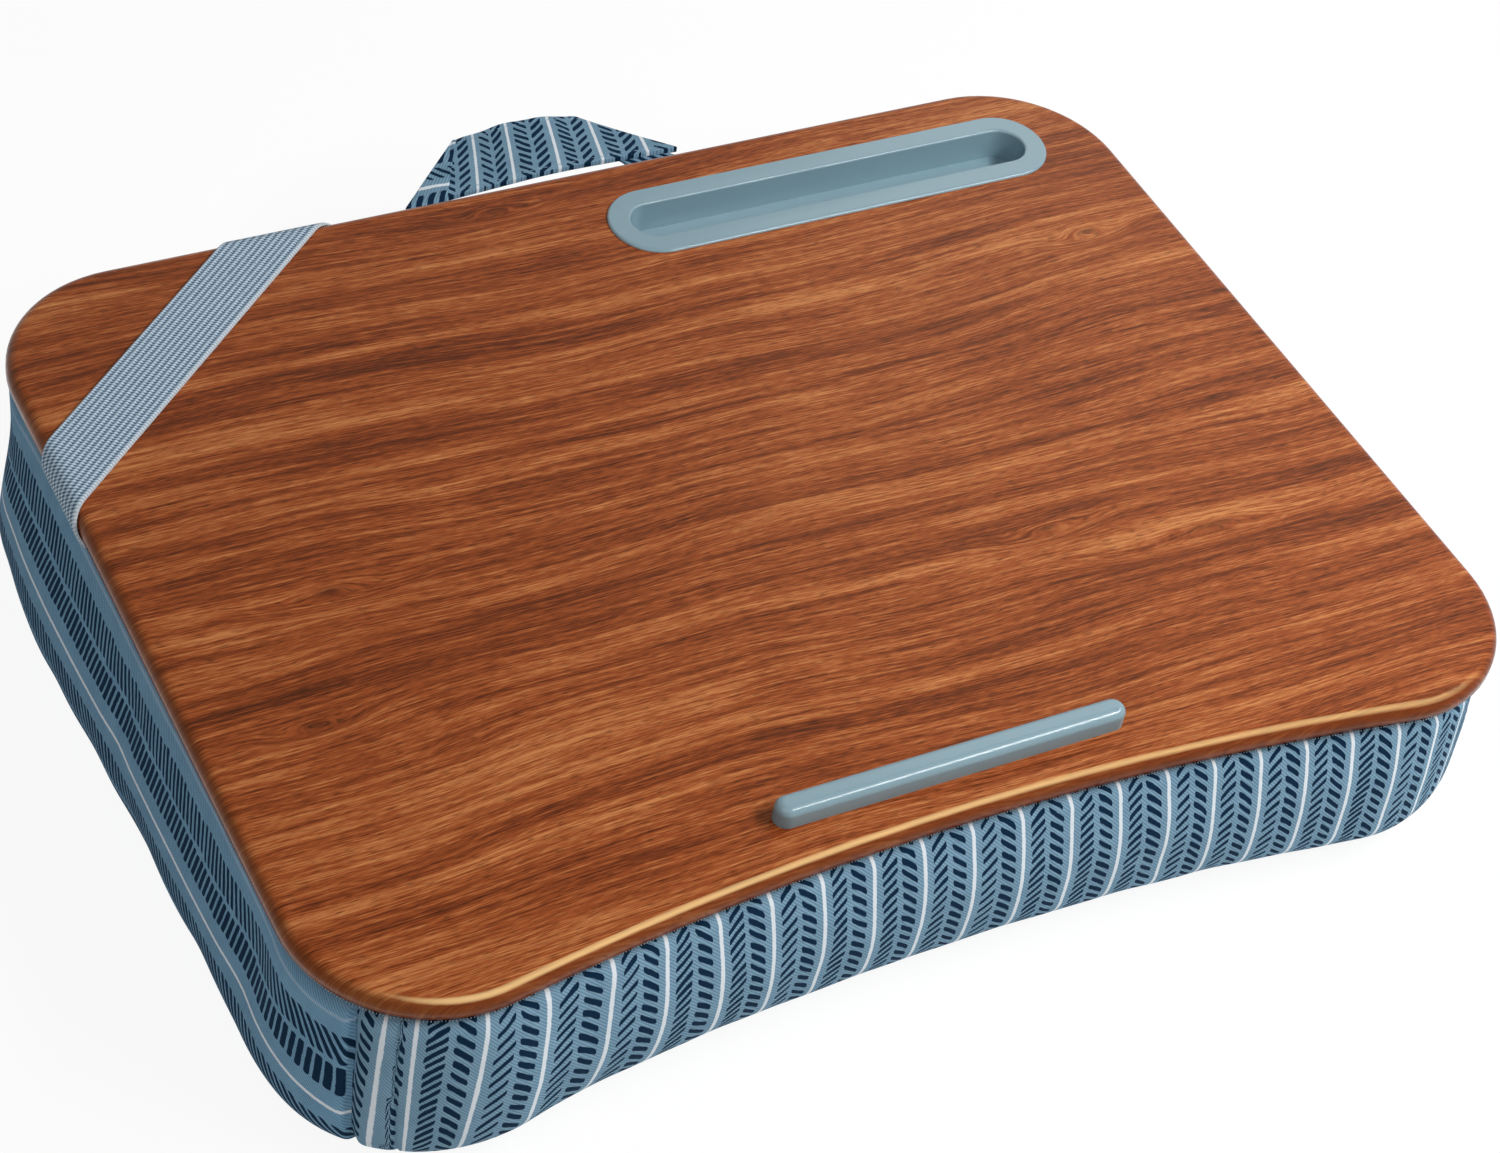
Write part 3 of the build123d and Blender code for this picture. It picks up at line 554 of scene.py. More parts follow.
smoothUpTo = 50          # degrees between two faces of a moulded or machined edge
for node, name, finish, slotName in (("deck_board", "deckBoard", walnut, "walnut_laminate"),
                                     ("phone_slot_bezel", "phoneSlotBezel", plastic, "blue_grey_plastic"),
                                     ("device_ledge", "deviceLedge", plastic, "blue_grey_plastic")):
    settle(mergedCopy(node, name, smoothUpTo), "desk", finish, slotName, node)
for name, finish in (("ledge_screws", zinc), ("strap_staples", zinc), ("handle_staples", zinc),
                     ("cushion_staples", zinc), ("cushion_top_panel", felt), ("bead_fill", beads),
                     ("handle_ends", plainTwill)):
    nodes[name].data.materials.clear()
    nodes[name].data.materials.append(finish)
print("deck, bezel and ledge are finished")


# cushion

cushion = {
    "halfWidth": 237.0, "rear": 180.0, "front": -183.5, "rearCorner": 74.0, "frontCorner": 66.0, "dip": 14.5,
    "top": 66.4, "bottom": 2.6, "rows": 24, "crowding": 0.045, "columnStep": 4.0,
    "shoulderHeight": 3.2, "tuck": 2.6, "toeHeight": 18.0, "sag": 3.2, "clothThick": 1.0, "fill": 0.75,
    # the simulated cloth's pressure, growth and frames, the most it moves a point, and the share that is kept
    "pressure": 3.0, "grow": 0.010, "frames": 20, "cap": 3.0, "creases": 0.7,
    "seamDeep": 2.8, "seamWide": 1.7,
    "pleatPlace": 15.2, "pleatDeep": 1.1, "pleatWide": 1.1, "pleatFar": 0.35,
    # the front left seam's slide along the wall at the top and at the bottom, and how far round it reaches
    "slide": (-1.5, 5.0), "slideReach": 34.0,
    # the hem that turns in under the deck: how far inside the wall's top, height, and run on the cloth
    "hem": ((8.0, 64.7, -7.0), (3.0, 64.9, -3.4), (1.4, 66.1, -1.6)),
}
deckShape = {"halfWidth": 225.5, "rear": 175.0, "front": -175.0, "rearCorner": 50.0, "frontCorner": 50.0,
             "dip": 14.5}


def outline(shape, step=0.5):
    # points with their outward normals, and running lengths, round a shape, anticlockwise from the middle of
    # its rear left corner; the last result is the running lengths of the corner middles
    half, rearRound, frontRound = shape["halfWidth"], shape["rearCorner"], shape["frontCorner"]
    reach = half - frontRound
    wave = (reach ** 2 + shape["dip"] ** 2) / (2 * shape["dip"]) - frontRound
    waveY = shape["front"] + shape["dip"] - wave
    swing = math.degrees(math.asin(reach / (wave + frontRound)))
    rearX, rearY, frontY = half - rearRound, shape["rear"] - rearRound, shape["front"] + frontRound
    found, marks = [], []

    def arc(cx, cy, radius, begin, end):
        count = max(2, round(abs(math.radians(end - begin)) * radius / step))
        angle = np.radians(np.linspace(begin, end, count, endpoint=False))
        way = 1 if end > begin else -1
        found.append(np.stack((cx + radius * np.cos(angle), cy + radius * np.sin(angle),
                               way * np.cos(angle), way * np.sin(angle)), 1))

    def straight(x0, y0, x1, y1):
        length = math.hypot(x1 - x0, y1 - y0)
        t = np.linspace(0, 1, max(2, round(length / step)), endpoint=False)
        found.append(np.stack((x0 + (x1 - x0) * t, y0 + (y1 - y0) * t,
                               np.full_like(t, (y1 - y0) / length), np.full_like(t, (x0 - x1) / length)), 1))

    def mark():
        marks.append(sum(len(part) for part in found))

    mark()
    arc(-rearX, rearY, rearRound, 135, 180)
    straight(-half, rearY, -half, frontY)
    arc(-reach, frontY, frontRound, 180, 225)
    mark()
    arc(-reach, frontY, frontRound, 225, 270 + swing)
    arc(0, waveY, wave, 90 + swing, 90 - swing)
    arc(reach, frontY, frontRound, 270 - swing, 315)
    mark()
    arc(reach, frontY, frontRound, 315, 360)
    straight(half, frontY, half, rearY)
    arc(rearX, rearY, rearRound, 0, 45)
    mark()
    arc(rearX, rearY, rearRound, 45, 90)
    straight(rearX, shape["rear"], -rearX, shape["rear"])
    arc(-rearX, rearY, rearRound, 90, 135)
    points = np.concatenate(found + [found[0][:1]])
    run = np.concatenate(([0], np.cumsum(np.hypot(*np.diff(points[:, :2], axis=0).T))))
    return points, run, [run[m] for m in marks] + [run[-1]]


def columnPlaces(begin, end, pleat):
    # close together at the seams and at the pleat, four millimetres apart elsewhere
    lead = np.array([0, 0.6, 1.2, 2.0, 3.0, 4.4, 6.4, 9.0, 12.0])
    first, last = begin + 16, end - 16
    inner = np.linspace(first, last, round((last - first) / cushion["columnStep"]) + 1)
    if pleat:
        folded = begin + cushion["pleatPlace"] + np.array([-1.4, -0.5, 0, 0.5, 1.4])
        inner = np.concatenate((folded, inner[1:]))
    return np.concatenate((begin + lead, inner, end - lead[::-1]))


def easedBetween(places, values, at, period):
    # straight from one station to the next, all the way round, then softened over about 40 mm
    pace, soften = 2.0, 20.0
    dense, around = np.arange(0, period, pace), np.arange(-30, 31)
    order = np.argsort(np.mod(places, period))
    level = np.interp(dense, np.mod(places, period)[order], np.array(values)[order], period=period)
    weight = np.exp(-(around * pace / soften) ** 2)
    soft = sum(np.roll(level, k) * w for k, w in zip(around, weight)) / weight.sum()
    return np.interp(at, dense, soft, period=period)


widest, widestRun, corners = outline(cushion)
deckEdge = outline(deckShape)[0]
sides = ["leftGusset", "frontGusset", "rightGusset", "rearGusset"]
columns, ranges = [], {}
for i, side in enumerate(sides):
    places = columnPlaces(corners[i], corners[i + 1], side == "frontGusset")
    ranges[side] = (len(columns), len(columns) + len(places) - 1)
    columns += list(places[:-1])
columns = np.array(columns)
girth = corners[4]
ring = np.stack([np.interp(columns, widestRun, widest[:, k]) for k in range(4)], 1)
gap = deckEdge[None, :, :2] - ring[:, None, :2]
nearest = np.argmin((gap ** 2).sum(2), 1)
overhang = -(gap[np.arange(len(ring)), nearest] * ring[:, 2:]).sum(1)

# how the stuffed cushion leans out of its drawn outline, station by station in millimetres
frontMiddle, rightMiddle, rearMiddle = [(corners[i] + corners[i + 1]) / 2 for i in (1, 2, 3)]
stations = [
    # where, lean, height of the widest place, fullness above it, stand of the shoulder, turn of the foot
    (corners[0], -8.0, 27, 1.7, -0.6, 9),
    (corners[0] + 60, 0.0, 22, 1.5, -3.0, 9),
    (corners[0] + 110, 3.0, 19, 1.25, -3.0, 8),
    (corners[0] + 170, -0.7, 19, 1.25, -3.0, 8),
    (corners[0] + 235, -2.3, 19, 1.25, -3.0, 8),
    (corners[0] + 300, -5.5, 20, 1.25, -2.4, 9),
    (corners[0] + 345, 1.2, 22, 1.3, -0.4, 9),
    (corners[1] - 25, 0.9, 27, 1.5, 0.2, 11),
    (corners[1] + 22, 2.0, 31, 1.6, 0.2, 13),
    (frontMiddle - 150, -1.1, 33, 1.7, 0.4, 13),
    (frontMiddle - 30, -0.3, 33, 1.7, 0.4, 13),
    (frontMiddle + 30, -0.6, 33, 1.7, 0.4, 13),
    (frontMiddle + 90, -2.2, 33, 1.7, 0.4, 13),
    (frontMiddle + 150, -3.0, 33, 1.7, 0.2, 13),
    (corners[2] - 18, -6.9, 33, 1.8, -3.0, 10.5),
    (corners[2] + 45, -8.4, 30, 1.8, -3.5, 12),
    (rightMiddle + 20, -6.0, 30, 1.8, -1.0, 11),
    (corners[3], -4.0, 33, 1.8, -1.0, 10),
    (rearMiddle, -1.0, 33, 1.8, -1.0, 10),
]
where = [s[0] for s in stations]
leanOut, widestHeight, fullness, shoulder, toe = [
    easedBetween(where, [s[k] for s in stations], columns, girth) for k in (1, 2, 3, 4, 5)]
bulge = overhang + leanOut


def wallOffset(z, column):
    # how far the wall stands outside the deck's edge at a height
    middle, wide, rise = widestHeight[column], bulge[column], cushion["top"] - z
    t = np.clip((z - middle) / (cushion["top"] - middle), 0, 1)
    u = np.clip((middle - z) / (middle - cushion["bottom"]), 0, 1)
    foot = np.clip(1 - (z - cushion["bottom"]) / cushion["toeHeight"], 0, 1)
    turn = np.clip(1 - rise / cushion["shoulderHeight"], 0, 1)
    return (wide - (wide - shoulder[column]) * t ** fullness[column] - cushion["sag"] * u ** 2.4
            - toe[column] * (1 - np.sqrt(1 - 0.97 * foot ** 2))
            - cushion["tuck"] * (1 - np.sqrt(1 - 0.97 * turn ** 2)))


def insetRow(row, inwards, around=slice(None), height=None):
    # points of the wall moved inwards, and brought to a height where one is given
    moved = row.copy()
    moved[..., :2] -= ring[around, 2:] * np.reshape(inwards, (-1, 1))
    if height is not None:
        moved[..., 2] = height
    return moved


rows = cushion["rows"]
rowShare = np.linspace(0, 1, rows + 1)
rowShare -= cushion["crowding"] * np.sin(2 * math.pi * rowShare)          # closer at the top and the bottom
grid = np.zeros((rows + 1, len(columns), 3))
grid[:, :, :2] = ring[:, :2]
for r, z in enumerate(cushion["top"] - (cushion["top"] - cushion["bottom"]) * rowShare):
    grid[r] = insetRow(grid[r], overhang - wallOffset(z, np.arange(len(columns))), height=z)


def puffed(grid):
    # the wall as one sewn cloth, held at its top, its bottom seam and its corner seams, and blown up
    count = grid.shape[1]
    wall = meshPiece("wallCloth", grid.reshape(-1, 3), gridFaces(rows + 1, count, closed=True))
    held = wall.vertex_groups.new(name="held")
    seamColumns = [ranges[s][0] for s in sides]
    held.add([r * count + c for r in (0, rows) for c in range(count)]
             + [r * count + c for r in range(rows + 1) for c in seamColumns], 1.0, "REPLACE")
    cloth = wall.modifiers.new("cloth", "CLOTH")
    cloth.settings.quality = 6
    cloth.settings.mass = 0.25
    cloth.settings.tension_stiffness = cloth.settings.compression_stiffness = 18
    cloth.settings.shear_stiffness = 8
    cloth.settings.bending_stiffness = 0.6
    cloth.settings.use_pressure = True
    cloth.settings.uniform_pressure_force = cushion["pressure"]
    cloth.settings.shrink_min = -cushion["grow"]
    cloth.settings.vertex_group_mass = "held"
    cloth.settings.effector_weights.gravity = 0
    cloth.point_cache.frame_start, cloth.point_cache.frame_end = 1, cushion["frames"]
    for number in range(1, cushion["frames"] + 1):
        scene.frame_set(number)
    shaped = wall.evaluated_get(bpy.context.evaluated_depsgraph_get())
    moved = np.zeros(count * (rows + 1) * 3)
    shaped.data.vertices.foreach_get("co", moved)
    scene.frame_set(1)
    bpy.data.objects.remove(wall)
    swell = ((moved.reshape(grid.shape) / mm - grid)[:, :, :2] * ring[None, :, 2:]).sum(2)
    swell = np.clip(swell, -cushion["cap"], cushion["cap"])
    # the even part of the swelling is in the drawn profile already, so what the cloth adds is its unevenness
    uneven = swell - swell.mean(1, keepdims=True)
    for _ in range(3):
        uneven = (np.roll(uneven, 1, 1) + 2 * uneven + np.roll(uneven, -1, 1)) / 4
        uneven[1:-1] = (uneven[:-2] + 2 * uneven[1:-1] + uneven[2:]) / 4
    creased = grid.copy()
    creased[:, :, :2] += ring[None, :, 2:] * uneven[:, :, None] * cushion["creases"]
    return creased


grid = puffed(grid)
print("cushion wall is puffed")

# the seam at the front left corner stands straighter than the wall leans
slid = (np.linspace(*cushion["slide"], rows + 1)[:, None]
        * np.exp(-((columns - corners[1]) / cushion["slideReach"]) ** 2)[None, :])
looped = np.concatenate((columns - girth, columns, columns + girth))
for r in range(rows + 1):
    for k in range(3):
        grid[r, :, k] = np.interp(columns + slid[r], looped, np.tile(grid[r, :, k], 3))

# lengths on the cloth, for the print
steps = np.linalg.norm(np.diff(grid, axis=0), axis=2)
down = np.concatenate((np.zeros((1, len(columns))), np.cumsum(steps, 0)))
frontPrint = {
    # running lengths from the front's middle and the stripe that is there; at the left a pleat swallows
    # nearly all of a stripe, and the cloth beside it is stretched
    "places": (-203.3, -181.0, -134.0, -93.0, -36.0, 20.0, 76.0, 146.0, 183.0, 230.0),
    "stripes": (-10, -9, -7, -5, -2, 1, 4, 8, 10, 12.6),
    "pastPleat": -214.2, "shownStripe": 0.15, "stretch": 1.08, "cornerStretch": 1.1,
    # how much the lines lean as they go down, there
    "leanPlaces": (-203.0, -184.0, -133.0, -113.0, -92.0, 0.0, 75.0, 224.0),
    "leans": (0, -0.15, -0.15, -0.08, 0, 0.03, 0.08, 0.05), "uprightAt": 20.0,
}
sidePrint = {
    # how far down its line is, how it leans, and how it widens and drops towards the front corner
    "lineDown": 5.9, "shear": 0.36, "widensFrom": 262.0, "widening": 0.34, "spreading": 0.2, "drop": 3.8,
}


def frontStripe(s, depth, pleat):
    # running length and depth on the front to stripes of the print
    f, first = frontPrint, frontPrint["stripes"][0]
    s -= np.interp(s, f["leanPlaces"], f["leans"]) * (depth - f["uprightAt"])
    if s >= f["places"][0]:
        return np.interp(s, f["places"], f["stripes"])
    if s > pleat:
        return first + (s - f["places"][0]) / motif["stripe"] * f["stretch"]
    if s >= f["pastPleat"]:
        return first - 1 + (s - f["pastPleat"]) / (pleat - f["pastPleat"]) * f["shownStripe"]
    return first - 1 + (s - f["pastPleat"]) / motif["stripe"] * f["cornerStretch"]


def clothPlace(side, s, depth, s0, s1):
    # one corner of the print on a gusset: across the stripes and along them
    middle = (s0 + s1) / 2
    if side == "frontGusset":
        pleat = s0 + cushion["pleatPlace"] - middle
        return frontStripe(s - middle, depth, pleat) * motif["stripe"], -depth
    if side == "rearGusset":
        return s - middle, -depth
    s = s - s0 if side == "leftGusset" else s1 - s
    widens = s1 - s0 - sidePrint["widensFrom"]
    near = max(0.0, (s - sidePrint["widensFrom"]) / widens)
    if near > 0:
        more = sidePrint["widening"]
        s = sidePrint["widensFrom"] + widens / more * math.log(1 + more * near)
    bent = near ** 1.8
    across = depth - sidePrint["lineDown"] * (1 - 0.5 * bent) - sidePrint["drop"] * bent
    return across / (1 + sidePrint["spreading"] * bent), s - sidePrint["shear"] * depth


rounded = {"levels": 1, "render_levels": 1}
hair = 0.001          # the print's corners lie this far inside their face, because it jumps at the pleat
for side in sides:
    begin, end = ranges[side]
    places = np.append(columns, girth)[begin:end + 1]
    wrap = np.arange(begin, end + 1) % len(columns)
    fromSeam = np.minimum(places - places[0], places[-1] - places)
    sink = cushion["seamDeep"] * np.exp(-(fromSeam / cushion["seamWide"]) ** 2)
    if side == "frontGusset":
        fromPleat = places - places[0] - cushion["pleatPlace"]
        sink += (cushion["pleatDeep"] * np.exp(-np.abs(fromPleat) / cushion["pleatWide"])
                 * np.where(fromPleat < 0, 1.0, cushion["pleatFar"]))
    part = insetRow(grid[:, wrap], sink, wrap)
    hem = [insetRow(part[0], inwards, wrap, z) for inwards, z, _ in cushion["hem"]]
    part = np.concatenate((np.array(hem), part))
    depth = np.concatenate((np.array([[run] for _, _, run in cushion["hem"]]) + down[0, wrap], down[:, wrap]))
    moved = slid[np.maximum(np.arange(len(part)) - len(hem), 0)][:, wrap]
    faces, uv, weave = gridFaces(len(part), len(places)), [], []
    for face in faces:
        for k, corner in enumerate(face):
            r, c = divmod(corner, len(places))
            s = places[c] + (hair if k < 2 else -hair) + moved[r, c]
            uv.append(clothPlace(side, s, depth[r, c], places[0], places[-1]))
            weave.append((places[c], -depth[r, c]))
    piece = meshPiece(side, part.reshape(-1, 3), faces, uv, weave)
    applyModifiers(piece, {"SUBSURF": dict(rounded, uv_smooth="NONE"),
                           "SOLIDIFY": {"thickness": cushion["clothThick"] * mm, "offset": -1}})
    settle(piece, "desk", sideTwill if side in ("leftGusset", "rightGusset") else twill, "printed_canvas",
           side.replace("Gusset", "_gusset"))

bottom = {
    # flat where it lies, turned up to the seam all round: how far inside the seam, and how far below it
    "turnedUp": ((0.0, 0.0), (2.2, -1.3), (5.5, -2.1), (11.0, -2.35), (22.0, -2.4)),
    "loops": (0.8, 0.6, 0.4, 0.2), "lowest": 0.2, "thick": 0.9,
}
count = len(columns)
rings = [insetRow(grid[-1], inwards) + (0, 0, drop) for inwards, drop in bottom["turnedUp"]]
rings += [rings[-1] * (share, share, 1) for share in bottom["loops"]]
panel = np.concatenate(rings + [[[0, 0, bottom["lowest"]]]])
panel[:, 2] = np.maximum(panel[:, 2], bottom["lowest"])
hub = len(panel) - 1
faces = gridFaces(len(rings), count, closed=True)
faces += [(hub - count + c, hub, hub - count + (c + 1) % count) for c in range(count)]
uv = [panel[v, :2] for face in faces for v in face]
piece = meshPiece("bottomPanel", panel, faces, uv, uv)
applyModifiers(piece, {"SOLIDIFY": {"thickness": bottom["thick"] * mm, "offset": -1}})
settle(piece, "desk", twill, "printed_canvas", "bottom_panel")

filling = {
    # the beads fill the cover from just inside the cloth, and from further in at its top and bottom
    "rows": [0.5, 2] + list(range(4, rows - 1, 3)) + [rows - 0.6],
    "inside": 3.4, "insideAtEnds": 7.0, "lowest": 1.6, "highest": 64.2,
}
shell = []
for r in filling["rows"]:
    low = min(int(r), rows - 1)
    loop = insetRow(grid[low] * (1 - (r - low)) + grid[low + 1] * (r - low),
                    filling["inside"] if 1 < r < rows - 1 else filling["insideAtEnds"])
    loop[:, 2] = np.clip(loop[:, 2], filling["lowest"], filling["highest"])
    shell.append(loop[::2])
size, last = len(shell[0]), (len(shell) - 1) * len(shell[0])
points = np.concatenate(shell + [[[0, 0, shell[0][0, 2]], [0, 0, shell[-1][0, 2]]]])
faces = gridFaces(len(shell), size, closed=True)
faces += [(c, (c + 1) % size, len(points) - 2) for c in range(size)]
faces += [(last + (c + 1) % size, last + c, len(points) - 1) for c in range(size)]
settle(meshPiece("beadFill", points, faces), "desk", beads, "white_beads", "bead_fill")

overlock = {
    # a three-thread overlock over the cushion's top edge; its loops are 0.9 mm apart, drawn a bit coarser
    "pitch": 1.1, "thick": 0.36, "long": 0.8, "stand": -1.8, "height": 66.72,
}


def stitchTree():
    # beads of thread along a path, each a little larger or smaller than the next
    tree = bpy.data.node_groups.new("stitches", "GeometryNodeTree")
    tree.interface.new_socket("Geometry", in_out="INPUT", socket_type="NodeSocketGeometry")
    for name in ("Pitch", "Thickness", "Across", "Along"):
        tree.interface.new_socket(name, in_out="INPUT", socket_type="NodeSocketFloat")
    tree.interface.new_socket("Thread", in_out="INPUT", socket_type="NodeSocketMaterial")
    tree.interface.new_socket("Geometry", in_out="OUTPUT", socket_type="NodeSocketGeometry")
    add = nodeAdder(tree)
    given = add("NodeGroupInput").outputs
    path = add("GeometryNodeMeshToCurve", {0: given["Geometry"]})
    steps = add("GeometryNodeCurveToPoints", {"Curve": path, "Length": given["Pitch"]}, mode="LENGTH")
    bead = add("GeometryNodeMeshIcoSphere", {"Radius": 0.5, "Subdivisions": 1})
    sizes = add("CombineXYZ", {0: given["Thickness"], 1: given["Across"], 2: given["Along"]})
    shaped = add("GeometryNodeTransform", {"Geometry": bead, "Scale": sizes})
    drawn = add("FunctionNodeRandomValue", {2: 0.8, 3: 1.15, "Seed": 7}, data_type="FLOAT")
    sewn = add("GeometryNodeInstanceOnPoints", {"Points": steps, "Instance": shaped,
                                                "Rotation": steps.outputs["Rotation"],
                                                "Scale": drawn.outputs[1]})
    made = add("GeometryNodeRealizeInstances", {0: sewn})
    dressed = add("GeometryNodeSetMaterial", {"Geometry": made, "Material": given["Thread"]})
    add("NodeGroupOutput", {0: dressed})
    return tree


stitches = stitchTree()


def sewnLine(name, path, closed, body, thread, pitch, thick, across, along):
    # stitches of thread along a path given in millimetres
    links = [(i, i + 1) for i in range(len(path) - 1)] + ([(len(path) - 1, 0)] if closed else [])
    data = bpy.data.meshes.new(name + "Path")
    data.from_pydata([tuple(p) for p in np.array(path) * mm], links, [])
    piece = placed(name, data)
    sewing = piece.modifiers.new("stitches", "NODES")
    sewing.node_group = stitches
    sizes = {"Pitch": pitch * mm, "Thickness": thick * mm, "Across": across * mm, "Along": along * mm,
             "Thread": thread}
    for item in stitches.interface.items_tree:
        if item.in_out == "INPUT" and item.name in sizes:
            sewing[item.identifier] = sizes[item.name]
    applyModifiers(piece, {})
    piece.data.shade_smooth()
    settle(piece, body, thread, None)


edge = deckEdge[:-1:4]
path = edge[:, :2] + edge[:, 2:] * overlock["stand"]
path = np.column_stack((path, np.full(len(edge), overlock["height"])))
sewnLine("overlockStitches", path, True, "desk", thread, overlock["pitch"], overlock["thick"],
         overlock["long"], overlock["thick"])
print("cushion is sewn")


# elastic strap, in two halves that meet at its middle

strapTurn = math.radians(elastic["angle"])
way = np.array((math.cos(strapTurn), math.sin(strapTurn)))          # along the strap
normal = np.array((-way[1], way[0]))                                # across it


def noseCrossing(level, leftSide):
    # where the strap's line at this distance from the deck's middle meets the deck's left or rear nose
    if leftSide:
        return np.array((elastic["noseLeft"], (level - normal[0] * elastic["noseLeft"]) / normal[1]))
    return np.array(((level - normal[1] * elastic["noseRear"]) / normal[0], elastic["noseRear"]))


middleLevel = elastic["near"] + elastic["width"] / 2
middleAlong = (noseCrossing(middleLevel, True) @ way + noseCrossing(middleLevel, False) @ way) / 2


def strapLine(w, leftSide):
    # one line of half the strap, w from its lower edge: x, y, turn round the nose, and running length; it
    # lies on the deck, goes round the nose with its angle kept on the unrolled strap, and runs on below
    radius, arcRun = elastic["noseRadius"], math.pi * elastic["noseRadius"]
    level = elastic["near"] + w
    start = noseCrossing(level, leftSide)
    centre = normal * level + way * middleAlong
    flat = [centre + (start - centre) * k / elastic["flatSteps"] for k in range(elastic["flatSteps"])]
    line = [(place[0], place[1], 0.0, place @ way) for place in flat]
    tail = [arcRun + elastic["tail"] * k / elastic["tailSteps"] for k in range(1, elastic["tailSteps"] + 1)]
    for past in list(np.linspace(0, arcRun, elastic["noseSteps"])) + tail:
        turn, under = min(past, arcRun) / radius, max(0.0, past - arcRun)
        out = radius * math.sin(turn) - under
        if leftSide:
            unrolled = np.array((elastic["noseLeft"] - past, start[1] - math.tan(strapTurn) * past))
            line.append((elastic["noseLeft"] - out, unrolled[1], turn, unrolled @ way))
        else:
            unrolled = np.array((start[0] + past / math.tan(strapTurn), elastic["noseRear"] + past))
            line.append((unrolled[0], elastic["noseRear"] + out, turn, unrolled @ way))
    return line


def elasticHalf(name, leftSide):
    ribs = round(elastic["width"] / elastic["ribPitch"])
    across = np.linspace(0, elastic["width"], ribs * elastic["perRib"] + 1)
    lines = [strapLine(w, leftSide) for w in across]
    steps, wide, half = len(lines[0]), len(across), elastic["thick"] / 2
    nose = elastic["flatSteps"] - 2
    points = []
    for k in range(steps):
        fade = 1.0 if k < nose else max(0.15, 1 - (k - nose) / 5)          # pulled flatter round the nose
        top, under = [], []
        for w, line in zip(across, lines):
            x, y, turn, _ = line[k]
            z = elastic["noseMiddle"] + elastic["noseRadius"] * math.cos(turn)
            groove = 0.5 + 0.5 * math.cos(2 * math.pi * w / elastic["ribPitch"])
            edgeDown = min(1.0, min(w, elastic["width"] - w) / elastic["edgeRound"])
            upper = -half + 2 * half * (0.35 + 0.65 * edgeDown) - elastic["ribHeight"] * groove * fade
            for store, push in ((top, upper), (under, -half)):
                out = math.sin(turn) * push
                store.append((x - out * leftSide, y + out * (not leftSide), z + math.cos(turn) * push))
        points += top + under[::-1]
    loop = 2 * wide
    faces = [face if leftSide else face[::-1] for face in gridFaces(steps, loop, closed=True)]
    uv = []
    for corner in (corner for face in faces for corner in face):
        k, i = divmod(corner, loop)
        i = min(i, loop - 1 - i)
        uv.append((across[i], lines[i][k][3]))
    faces += [list(range(k * loop, (k + 1) * loop)) for k in (0, steps - 1)]
    piece = meshPiece(name, points, faces, uv + [(0, 0)] * 2 * loop)
    shape = bmesh.new()
    shape.from_mesh(piece.data)
    bmesh.ops.recalc_face_normals(shape, faces=shape.faces)
    shape.to_mesh(piece.data)
    shape.free()
    return piece


for name, leftSide in (("elasticStrapLeft", True), ("elasticStrapRear", False)):
    strap = elasticHalf(name, leftSide)
    settle(strap, None, ribbed, "grey_elastic", "elastic_strap")
    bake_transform(strap)
print("elastic strap is stretched")


# handle

handle = {
    "hingeY": 178.2, "hingeZ": 66.1, "thick": 2.2, "bevel": 0.8,
    # plan of the band: its mitred left and right edges, and where its inner and outer edges run
    "leftIn": -55.0, "leftOut": -20.0, "rightIn": 63.0, "rightOut": 33.0,
    "innerLeft": 183.0, "innerRight": 187.0, "innerSwell": 3.2,
    "outerLeft": 219.0, "outerRight": 219.6, "outerSwell": 2.6, "ripple": 0.35,
    # the whole band droops, its middle bows up a little, and its right end curls down
    "reach": 40.0, "droop": 3.3, "bow": 1.6, "bowPlace": 14.0, "bowWide": 30.0,
    "curl": 2.6, "curlFrom": 24.0, "curlOver": 30.0,
    # where the white lines cross the band's middle, and how they lean there
    "linePlaces": (-71.0, -34.0, -16.2, -1.7, 17.0, 34.5, 53.0, 72.0),
    "lines": (-3.1, -1.1, 0, 1, 2, 3, 4, 5), "skew": 0.32, "skewDrop": 0.0028, "middleY": 204.0,
    "topstitches": (0.07, 0.93), "stitchPitch": 2.9, "stitchThick": 0.32, "stitchLong": 2.1,
    # the legs, from under the deck: their inner edges, where the mitre and the taper begin, and their cloth
    "legInnerLeft": -37.0, "legInnerRight": 40.0, "legBegin": 173.0, "mitreFrom": 182.0, "taperFrom": 184.0,
    "legThick": 1.1, "legLift": 1.5, "crumple": 0.45, "legPrint": 0.78, "legPrintFrom": 192.5,
    "liftFrom": 180.5, "liftOver": 3.0,
    "bends": (175.0, 181.5),          # where a leg begins to bend, and where it has turned with the band
}


def clamped(value):
    return min(1.0, max(0.0, value))


def handleHeight(x, y):
    out = max(0.0, (y - handle["hingeY"]) / handle["reach"])
    bow = math.exp(-((x - handle["bowPlace"]) / handle["bowWide"]) ** 2)
    curl = clamped((x - handle["curlFrom"]) / handle["curlOver"]) ** 1.5
    ripple = handle["ripple"] * math.sin(x / 7.5 + 0.6)
    bent = handle["bow"] * bow - handle["droop"] - handle["curl"] * out * curl + ripple
    return handle["hingeZ"] + out * bent


def bandPoint(u, v):
    # u runs from the left mitre to the right one, v from the inner edge to the outer
    left = handle["leftIn"] + (handle["leftOut"] - handle["leftIn"]) * v
    right = handle["rightIn"] + (handle["rightOut"] - handle["rightIn"]) * v
    x = left + (right - left) * u
    swell = math.sin(math.pi * clamped(u)) ** 0.8
    inner, outer = [handle[edge + "Left"] + (handle[edge + "Right"] - handle[edge + "Left"]) * u
                    + handle[edge + "Swell"] * swell for edge in ("inner", "outer")]
    y = inner + (outer + handle["ripple"] * math.sin(u * 19) - inner) * v
    return x, y, handleHeight(x, y)


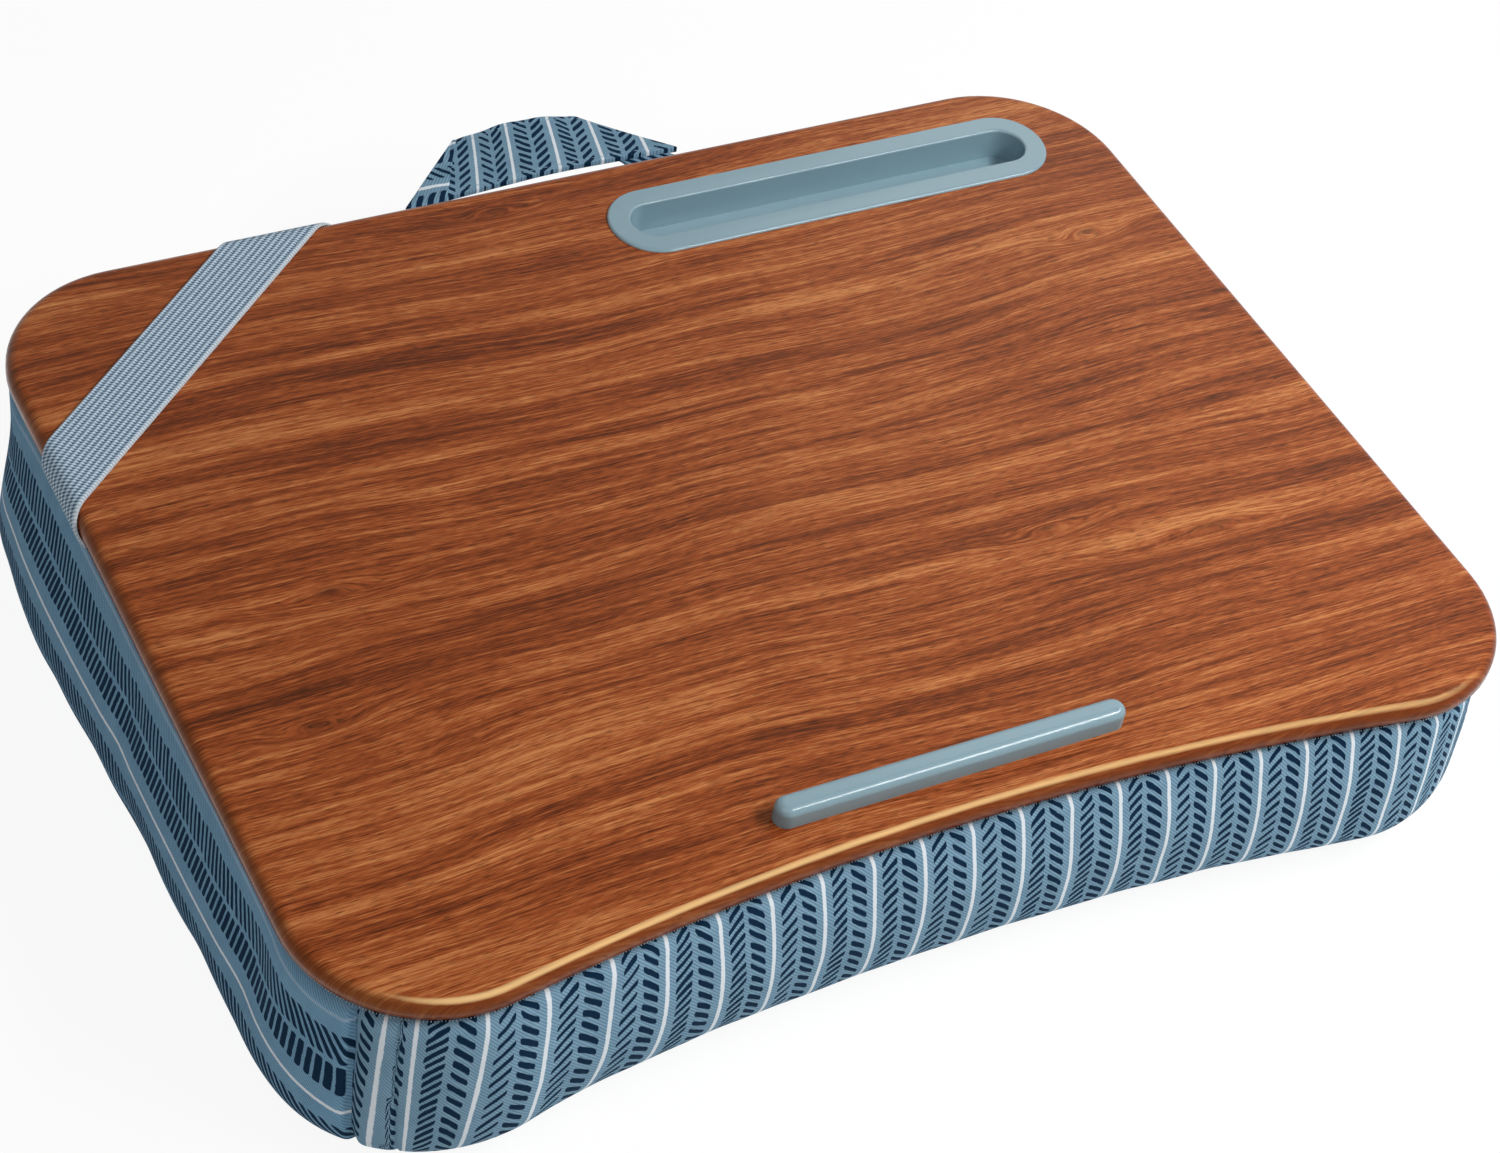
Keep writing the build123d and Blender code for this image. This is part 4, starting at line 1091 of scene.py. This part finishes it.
def handleBand():
    across, along = 48, 22
    points = [bandPoint(i / across, j / along) for j in range(along + 1) for i in range(across + 1)]
    faces = [(a, d, c, b) for a, b, c, d in gridFaces(along + 1, across + 1)]
    uv, weave = [], []
    for corner in (corner for face in faces for corner in face):
        x, y, _ = points[corner]
        straight = x - (y - handle["middleY"]) * (handle["skew"] - handle["skewDrop"] * x)
        uv.append((np.interp(straight, handle["linePlaces"], handle["lines"]) * motif["stripe"], 180 - y))
        weave.append((x, y))
    band = meshPiece("handleBand", points, faces, uv, weave)
    applyModifiers(band, {"SUBSURF": rounded, "SOLIDIFY": {"thickness": handle["thick"] * mm, "offset": 0},
                          "BEVEL": {"width": handle["bevel"] * mm, "segments": 3, "limit_method": "ANGLE"}})
    settle(band, "handle", twill, "printed_canvas", "handle_strap")


def handleLeg(name, outerIn, outerOut, inner, apexX, over):
    # from under the deck to the fold: a wedge whose outer edge is the mitre, over the band or under it
    along, across = 30, 12
    begin, top = handle["legBegin"], handle["outerLeft"] - 0.4
    points = []
    for j in range(along + 1):
        y = begin + (top - begin) * j / along
        reach = max(0.0, (y - handle["mitreFrom"]) / (top - handle["mitreFrom"]))
        taper = max(0.0, (y - handle["taperFrom"]) / (top - handle["taperFrom"]))
        outerX = outerIn + (outerOut - outerIn) * reach
        innerX = inner + (apexX - inner) * taper
        for i in range(across + 1):
            u = i / across
            x = outerX + (innerX - outerX) * u
            lift = handle["legLift"] * over * clamped((y - handle["liftFrom"]) / handle["liftOver"])
            # the cloth crumples where it is folded round the band's inner edge
            crumple = (handle["crumple"] * math.sin(y / 2.3 + 3 * u) * math.exp(-((1 - u) / 0.3) ** 2)
                       * clamped((y - handle["taperFrom"]) / 6))
            points.append((x, y, handleHeight(x, max(y, handle["hingeY"])) + lift + crumple))
    leftLeg = inner > outerIn
    faces = [(a, d, c, b) if leftLeg else (b, c, d, a) for a, b, c, d in gridFaces(along + 1, across + 1)]
    mirrored = -1 if leftLeg else 1
    uv = [(handle["legPrint"] * (points[corner][1] - handle["legPrintFrom"]), mirrored * points[corner][0])
          for face in faces for corner in face]
    leg = meshPiece(name, points, faces, uv, uv)
    applyModifiers(leg, {"SUBSURF": rounded, "SOLIDIFY": {"thickness": handle["legThick"] * mm, "offset": 0}})
    settle(leg, None, twill, "printed_canvas", "handle_strap")
    start, end = [(0, y * mm, handle["hingeZ"] * mm) for y in handle["bends"]]
    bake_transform(leg)
    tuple(start)
    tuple(end)


handleBand()
for name, v in zip(("handleStitchesInner", "handleStitchesOuter"), handle["topstitches"]):
    line = [np.array(bandPoint(0.03 + 0.94 * k / 120, v)) + (0, 0, handle["thick"] / 2) for k in range(121)]
    sewnLine(name, line, False, "handle", blueThread, handle["stitchPitch"], handle["stitchThick"],
             handle["stitchThick"], handle["stitchLong"])
# the left leg lies over the band, the right one under it
handleLeg("handleLegLeft", handle["leftIn"] - 0.3, handle["leftOut"], handle["legInnerLeft"],
          handle["leftOut"] + 1.2, 1)
handleLeg("handleLegRight", handle["rightIn"] + 0.3, handle["rightOut"], handle["legInnerRight"],
          handle["rightOut"] - 1.2, -1)
print("handle is folded")
